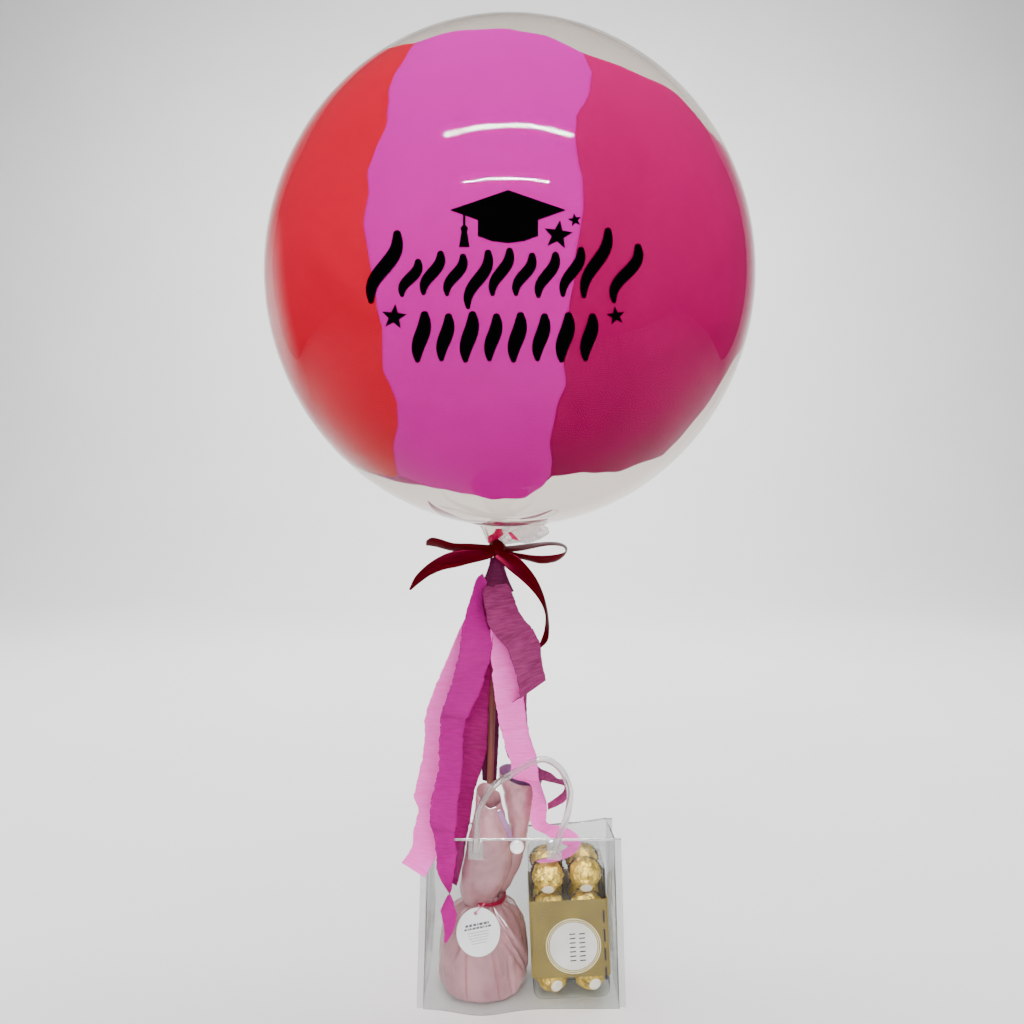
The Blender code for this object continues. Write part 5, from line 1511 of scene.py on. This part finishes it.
def make_box_shell(name, node_name, front):
    """Half of the clear box: a deep tray with rounded edges, its mouth at the middle of the depth."""
    width, depth, height = BOX_SIZE
    half = depth / 2 - 0.0002
    rows = []
    for inset, back in (*BOX_EDGE, (0.0, half - 0.0008), (0.0, half)):
        y = back if front else depth - back
        rows.append([Vector((x, y, z)) for x, z in rounded_rectangle(width, height, BOX_CORNER, inset)])
    mesh = sheet_mesh(name, rows, closed=True)
    bm = bmesh.new()
    bm.from_mesh(mesh)
    face_y = 0.0 if front else depth
    rim = [edge for edge in bm.edges if edge.is_boundary and abs(edge.verts[0].co.y - face_y) < 1e-5]
    bmesh.ops.holes_fill(bm, edges=rim, sides=0)
    bmesh.ops.recalc_face_normals(bm, faces=bm.faces)
    bm.transform(box_matrix())
    bm.to_mesh(mesh)
    bm.free()
    looks = dict(sharp=40, wall=BOX_FILM_WALL, offset=-1.0, clear=True)
    add_piece(name, mesh, BOX_FILM, "clear_film", (node_name,), **looks)


# The label's middle from the box's corner, its radius, and each ring's name, radius and width
LABEL_AT = (0.0390, -0.00095, 0.0505)
LABEL_RADIUS = 0.0222
LABEL_RINGS = (("outer", 0.0256, 0.0010), ("inner", 0.0238, 0.0008))
LABEL_WALL = 0.0002
INK_WALL = 0.0001


def make_label():
    """A round label with a double ring, rows of strokes on it, and dark dashes down the band's right edge."""
    upright = Matrix.Rotation(math.radians(90), 4, "X")
    front = box_matrix() @ Matrix.Translation(LABEL_AT) @ upright
    for name, radius, width in LABEL_RINGS:
        ring = [circle(0, 0, radius, 72), circle(0, 0, radius - width, 72)[::-1]]
        flat_shape(f"label_ring_{name}", ring, LABEL_WALL, LABEL_RING, front)
    flat_shape("label_face", [circle(0, 0, LABEL_RADIUS, 72)], LABEL_WALL, LABEL, front)
    strokes = []
    for x in (-0.0035, 0.0055):
        for index in range(7):
            y = -0.0140 + 0.0041 * index
            strokes.append([(x, y), (x + 0.0056, y + 0.0003), (x + 0.0056, y + 0.0014), (x, y + 0.0011)])
    surface = front @ Matrix.Translation((0, 0, 0.00013))
    flat_shape("label_strokes", strokes, INK_WALL, DARK_PRINT, surface)
    for index in range(4):
        z = -0.0320 + 0.0175 * index
        outline = [(0.0282, z), (0.0302, z), (0.0302, z + 0.0115), (0.0282, z + 0.0120)]
        flat_shape(f"band_dash_{index + 1}", [outline], INK_WALL, DARK_PRINT, front)


# The foil stands further out than the sweet, and is pressed flatter in front
FOIL_RADIUS = 0.0150
SWEET_FRONT = 0.0146
STICKER_RADIUS = 0.0055
STICKER_WALL = 0.0003
STICKER_FACING_LOW = Vector((0.26, -0.94, -0.17))
STICKER_FACING = Vector((0.0, -0.85, -0.53))


def make_sweets():
    """The sweets in their cups, in two layers of four rows of two, numbered from the front layer's foot."""
    for number in range(1, 17):
        layer, place = divmod(number - 1, 8)
        row, column = divmod(place, 2)
        offset = [BOX_WALL + size * (index + 0.5) for size, index in zip(SWEET_CELL, (column, layer, row))]
        centre = box_matrix() @ Vector(offset)
        make_sweet(number, centre, layer == 0)
        make_cup(number, centre)


def make_sweet(number, centre, in_front):
    bm = bmesh.new()
    bmesh.ops.create_icosphere(bm, subdivisions=5 if in_front else 4, radius=1.0)
    for vert in bm.verts:
        out = vert.co.normalized()
        place = out * SWEET_RADIUS + Vector((number * 0.31, 0, 0))
        coarse, fine = crease(100 + number, place, 130) - 0.34, crease(101, place, 330) - 0.25
        reach = FOIL_RADIUS + min(0.0004, 0.0034 * coarse + 0.0012 * fine)
        vert.co = Vector((out.x * reach, out.y * min(reach, SWEET_FRONT), out.z * reach))
    bmesh.ops.translate(bm, vec=centre, verts=bm.verts)
    name = f"foil_sweet_{number:02d}"
    mesh = bpy.data.meshes.new(name)
    bm.to_mesh(mesh)
    bm.free()
    add_piece(name, mesh, FOIL, "gold_foil", (f"sweet_{number:02d}",), sharp=24)
    if in_front:
        facing = (STICKER_FACING_LOW if number <= 2 else STICKER_FACING).normalized()
        turn = facing.to_track_quat("Z", "Y").to_matrix().to_4x4()
        matrix = Matrix.Translation(centre + facing * (SWEET_FRONT + 0.0003)) @ turn
        outline = circle(0, 0, STICKER_RADIUS, 36)
        flat_shape(f"sticker_{number:02d}", [outline], STICKER_WALL, STICKER, matrix)


# A cup's radius at its foot and how far it widens, how far back its foot lies, and its depth
CUP_RADIUS, CUP_FLARE = 0.0098, 0.0046
CUP_BACK, CUP_DEPTH = 0.0141, 0.0108
CUP_REACH = 0.0150
CUP_WALL = 0.00015


def make_cup(number, centre):
    """A pleated paper cup round a sweet's back."""
    rows = []
    for step in range(9):
        share = step / 8
        radius = CUP_RADIUS + CUP_FLARE * share
        y = CUP_BACK - CUP_DEPTH * share
        row = []
        for k in range(120):
            angle = math.tau * k / 120
            pleat = 0.00045 * share * (1 if (k // 2) % 2 else -1)
            flare = 0.0024 * share**2 * math.cos(angle) ** 2
            reach = min(radius + pleat, CUP_REACH) + flare
            row.append(centre + Vector((reach * math.cos(angle), y, reach * math.sin(angle))))
        rows.append(row)
    foot = centre + Vector((0, CUP_BACK, 0))
    rows.insert(0, [foot + (point - foot) * 0.02 for point in rows[0]])
    name, replaces = f"paper_cup_{number:02d}", (f"cup_{number:02d}",)
    mesh = clean(sheet_mesh(name, rows, closed=True))
    add_piece(name, mesh, CUP_PAPER, "cup_paper", replaces, sharp=30, wall=CUP_WALL)


def dress_cad_nodes():
    looks = {"support_stick": WOOD, "box_band": GOLD_CARD}
    for name, material in looks.items():
        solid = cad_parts[name]
        solid.data.materials.clear()
        solid.data.materials.append(material)


# Stage, lights and camera


# The floor and the wall behind it: how far back, and how high
STAGE_PROFILE = [
    (-0.9, 0.0), (0.0, 0.0), (1.2, 0.0), (2.2, 0.0), (2.9, 0.06),
    (3.4, 0.35), (3.7, 0.9), (3.8, 1.8), (3.8, 5.0),
]


def make_stage():
    """A pale floor that curves up into a pale wall. In front it is open, so the film reflects a dim room."""
    rows = []
    for back, height in smooth_rows(STAGE_PROFILE, 6):
        rows.append([Vector((x, back, max(0.0, height) - 0.0004)) for x in (-4.6, -2.3, 0.0, 2.3, 4.6)])
    mesh = sheet_mesh("stage_floor", rows)
    material, shader = principled("pale floor", (0.86, 0.855, 0.85), 0.65)
    cloud = grain(material, "Object", (1.0, 1.0, 1.0), 2.0, 2.0)
    colours = ramp(material, cloud, [(0.3, (0.85, 0.845, 0.84)), (0.7, (0.88, 0.875, 0.87))])
    join(material, colours, shader.inputs["Base Color"])
    mesh.materials.append(material)
    mesh.shade_smooth()
    link("stage_floor", mesh)


def add_area(name, place, target, size, power):
    light = bpy.data.lights.new(name, "AREA")
    light.shape = "RECTANGLE"
    light.size, light.size_y = size
    light.energy = power
    lamp = link(name, light)
    lamp.location = place
    lamp.rotation_mode = "QUATERNION"
    lamp.rotation_quaternion = (Vector(target) - Vector(place)).to_track_quat("-Z", "Y")
    return lamp


def ceiling_point(u, v, height):
    """Where the camera's ray at a pixel goes after the bubble reflects it, up to a height."""
    place = on_ball(u, v, FILM_RADIUS)
    ray = pixel_ray(u, v).normalized()
    normal = (place - BUBBLE_CENTRE).normalized()
    away = ray - normal * (2 * ray.dot(normal))
    return place + away * ((height - place.z) / away.z)


# Tube lamps that show as bars in the bubble: left, right and height in photo pixels, width and strength
TUBE_LAMPS_PX = {
    "tube_lamp_near": (445, 573, 136, 0.078, 4200.0),
    "tube_lamp_far": (464, 549, 182, 0.062, 7500.0),
}
LAMP_HEIGHT = 2.3
# Soft lamps: place, target, size and power
SOFT_LAMPS = {
    "soft_above": ((0.0, 0.4, 3.4), (0, 0, 0), (3.0, 3.0), 85.0),
    "soft_key": ((-1.0, -2.1, 1.9), (0, 0, 0.45), (1.6, 1.4), 32.0),
    "soft_front": ((0.3, -2.2, 0.5), (0, 0, 0.15), (1.8, 0.9), 36.0),
    "soft_left": ((-2.2, -0.6, 1.6), (0, 0, 0.5), (1.4, 1.6), 13.0),
    "soft_right": ((2.1, -1.3, 1.5), (0, 0, 0.4), (1.2, 1.6), 18.0),
    "soft_back": ((0.4, 2.2, 2.2), (0, 0, 0.3), (2.0, 1.2), 18.0),
    "wall_wash": ((0.0, 1.0, 3.0), (0, 3.6, 0.6), (4.4, 0.8), 210.0),
}


def make_lights():
    for name, (left, right, v, thick, strength) in TUBE_LAMPS_PX.items():
        start, end = ceiling_point(left, v, LAMP_HEIGHT), ceiling_point(right, v, LAMP_HEIGHT)
        length = (end - start).length
        lamp = add_area(name, (start + end) / 2, BUBBLE_CENTRE, (length, thick), strength * length * thick)
        lamp.visible_diffuse = False
    for name, values in SOFT_LAMPS.items():
        lamp = add_area(name, *values)
        lamp.visible_glossy = False
        lamp.visible_transmission = False
    world = bpy.data.worlds.new("studio")
    world.use_nodes = True
    background = world.node_tree.nodes["Background"]
    background.inputs["Color"].default_value = (1.0, 0.99, 0.98, 1.0)
    background.inputs["Strength"].default_value = 0.13
    bpy.context.scene.world = world


def make_rim_glow():
    """A panel with soft edges, behind on the left, that shows in the bubble's left rim."""
    mesh = bpy.data.meshes.new("glow_panel")
    corners = [(-0.9, 0, -1.1), (0.9, 0, -1.1), (0.9, 0, 1.1), (-0.9, 0, 1.1)]
    mesh.from_pydata(corners, [], [(0, 1, 2, 3)])
    material = bpy.data.materials.new("glow panel")
    material.use_nodes = True
    tree = material.node_tree
    tree.nodes.clear()
    out = node(material, "OutputMaterial")
    light = node(material, "Emission")
    coordinates = node(material, "TexCoord")
    mapping = node(material, "Mapping")
    mapping.inputs["Scale"].default_value = (1.1, 1.0, 0.9)
    fade = node(material, "TexGradient", gradient_type="SPHERICAL")
    power = node(material, "Math", operation="MULTIPLY")
    power.inputs[1].default_value = 2.2
    join(material, coordinates.outputs["Object"], mapping.inputs["Vector"])
    join(material, mapping.outputs["Vector"], fade.inputs["Vector"])
    join(material, fade.outputs["Fac"], power.inputs[0])
    join(material, power.outputs["Value"], light.inputs["Strength"])
    clear = node(material, "BsdfTransparent")
    both = node(material, "AddShader")
    join(material, light.outputs["Emission"], both.inputs[0])
    join(material, clear.outputs["BSDF"], both.inputs[1])
    join(material, both.outputs["Shader"], out.inputs["Surface"])
    mesh.materials.append(material)
    panel = link("glow_panel", mesh)
    panel.location = (-2.55, 1.9, 1.0)
    panel.rotation_euler = (0.0, 0.0, math.radians(50))
    panel.visible_diffuse = False
    panel.visible_camera = False
    panel.visible_shadow = False


def make_camera():
    camera = bpy.data.cameras.new("photo camera")
    camera.sensor_width = SENSOR_MM
    camera.lens = FOCAL_PX / (2 * CENTRE_PX) * SENSOR_MM
    camera.clip_start, camera.clip_end = 0.02, 50.0
    holder = link("photo camera", camera)
    holder.location = CAMERA
    holder.rotation_euler = (math.radians(90), 0.0, 0.0)
    bpy.context.scene.camera = holder


make_camera()
make_film()
make_painted_layer()
make_paint_marks()
make_neck_details()
make_vinyl()
make_bow()
make_wrap()
make_streamers()
make_foot()
make_collar()
make_foot_tie()
make_tag()
make_tag_loop()
make_bag()
make_handle()
make_snap()
make_box_shell("box_shell_front", "box_lid", True)
make_box_shell("box_shell_back", "box_tray", False)
make_label()
make_sweets()
dress_cad_nodes()
make_stage()
make_lights()
make_rim_glow()
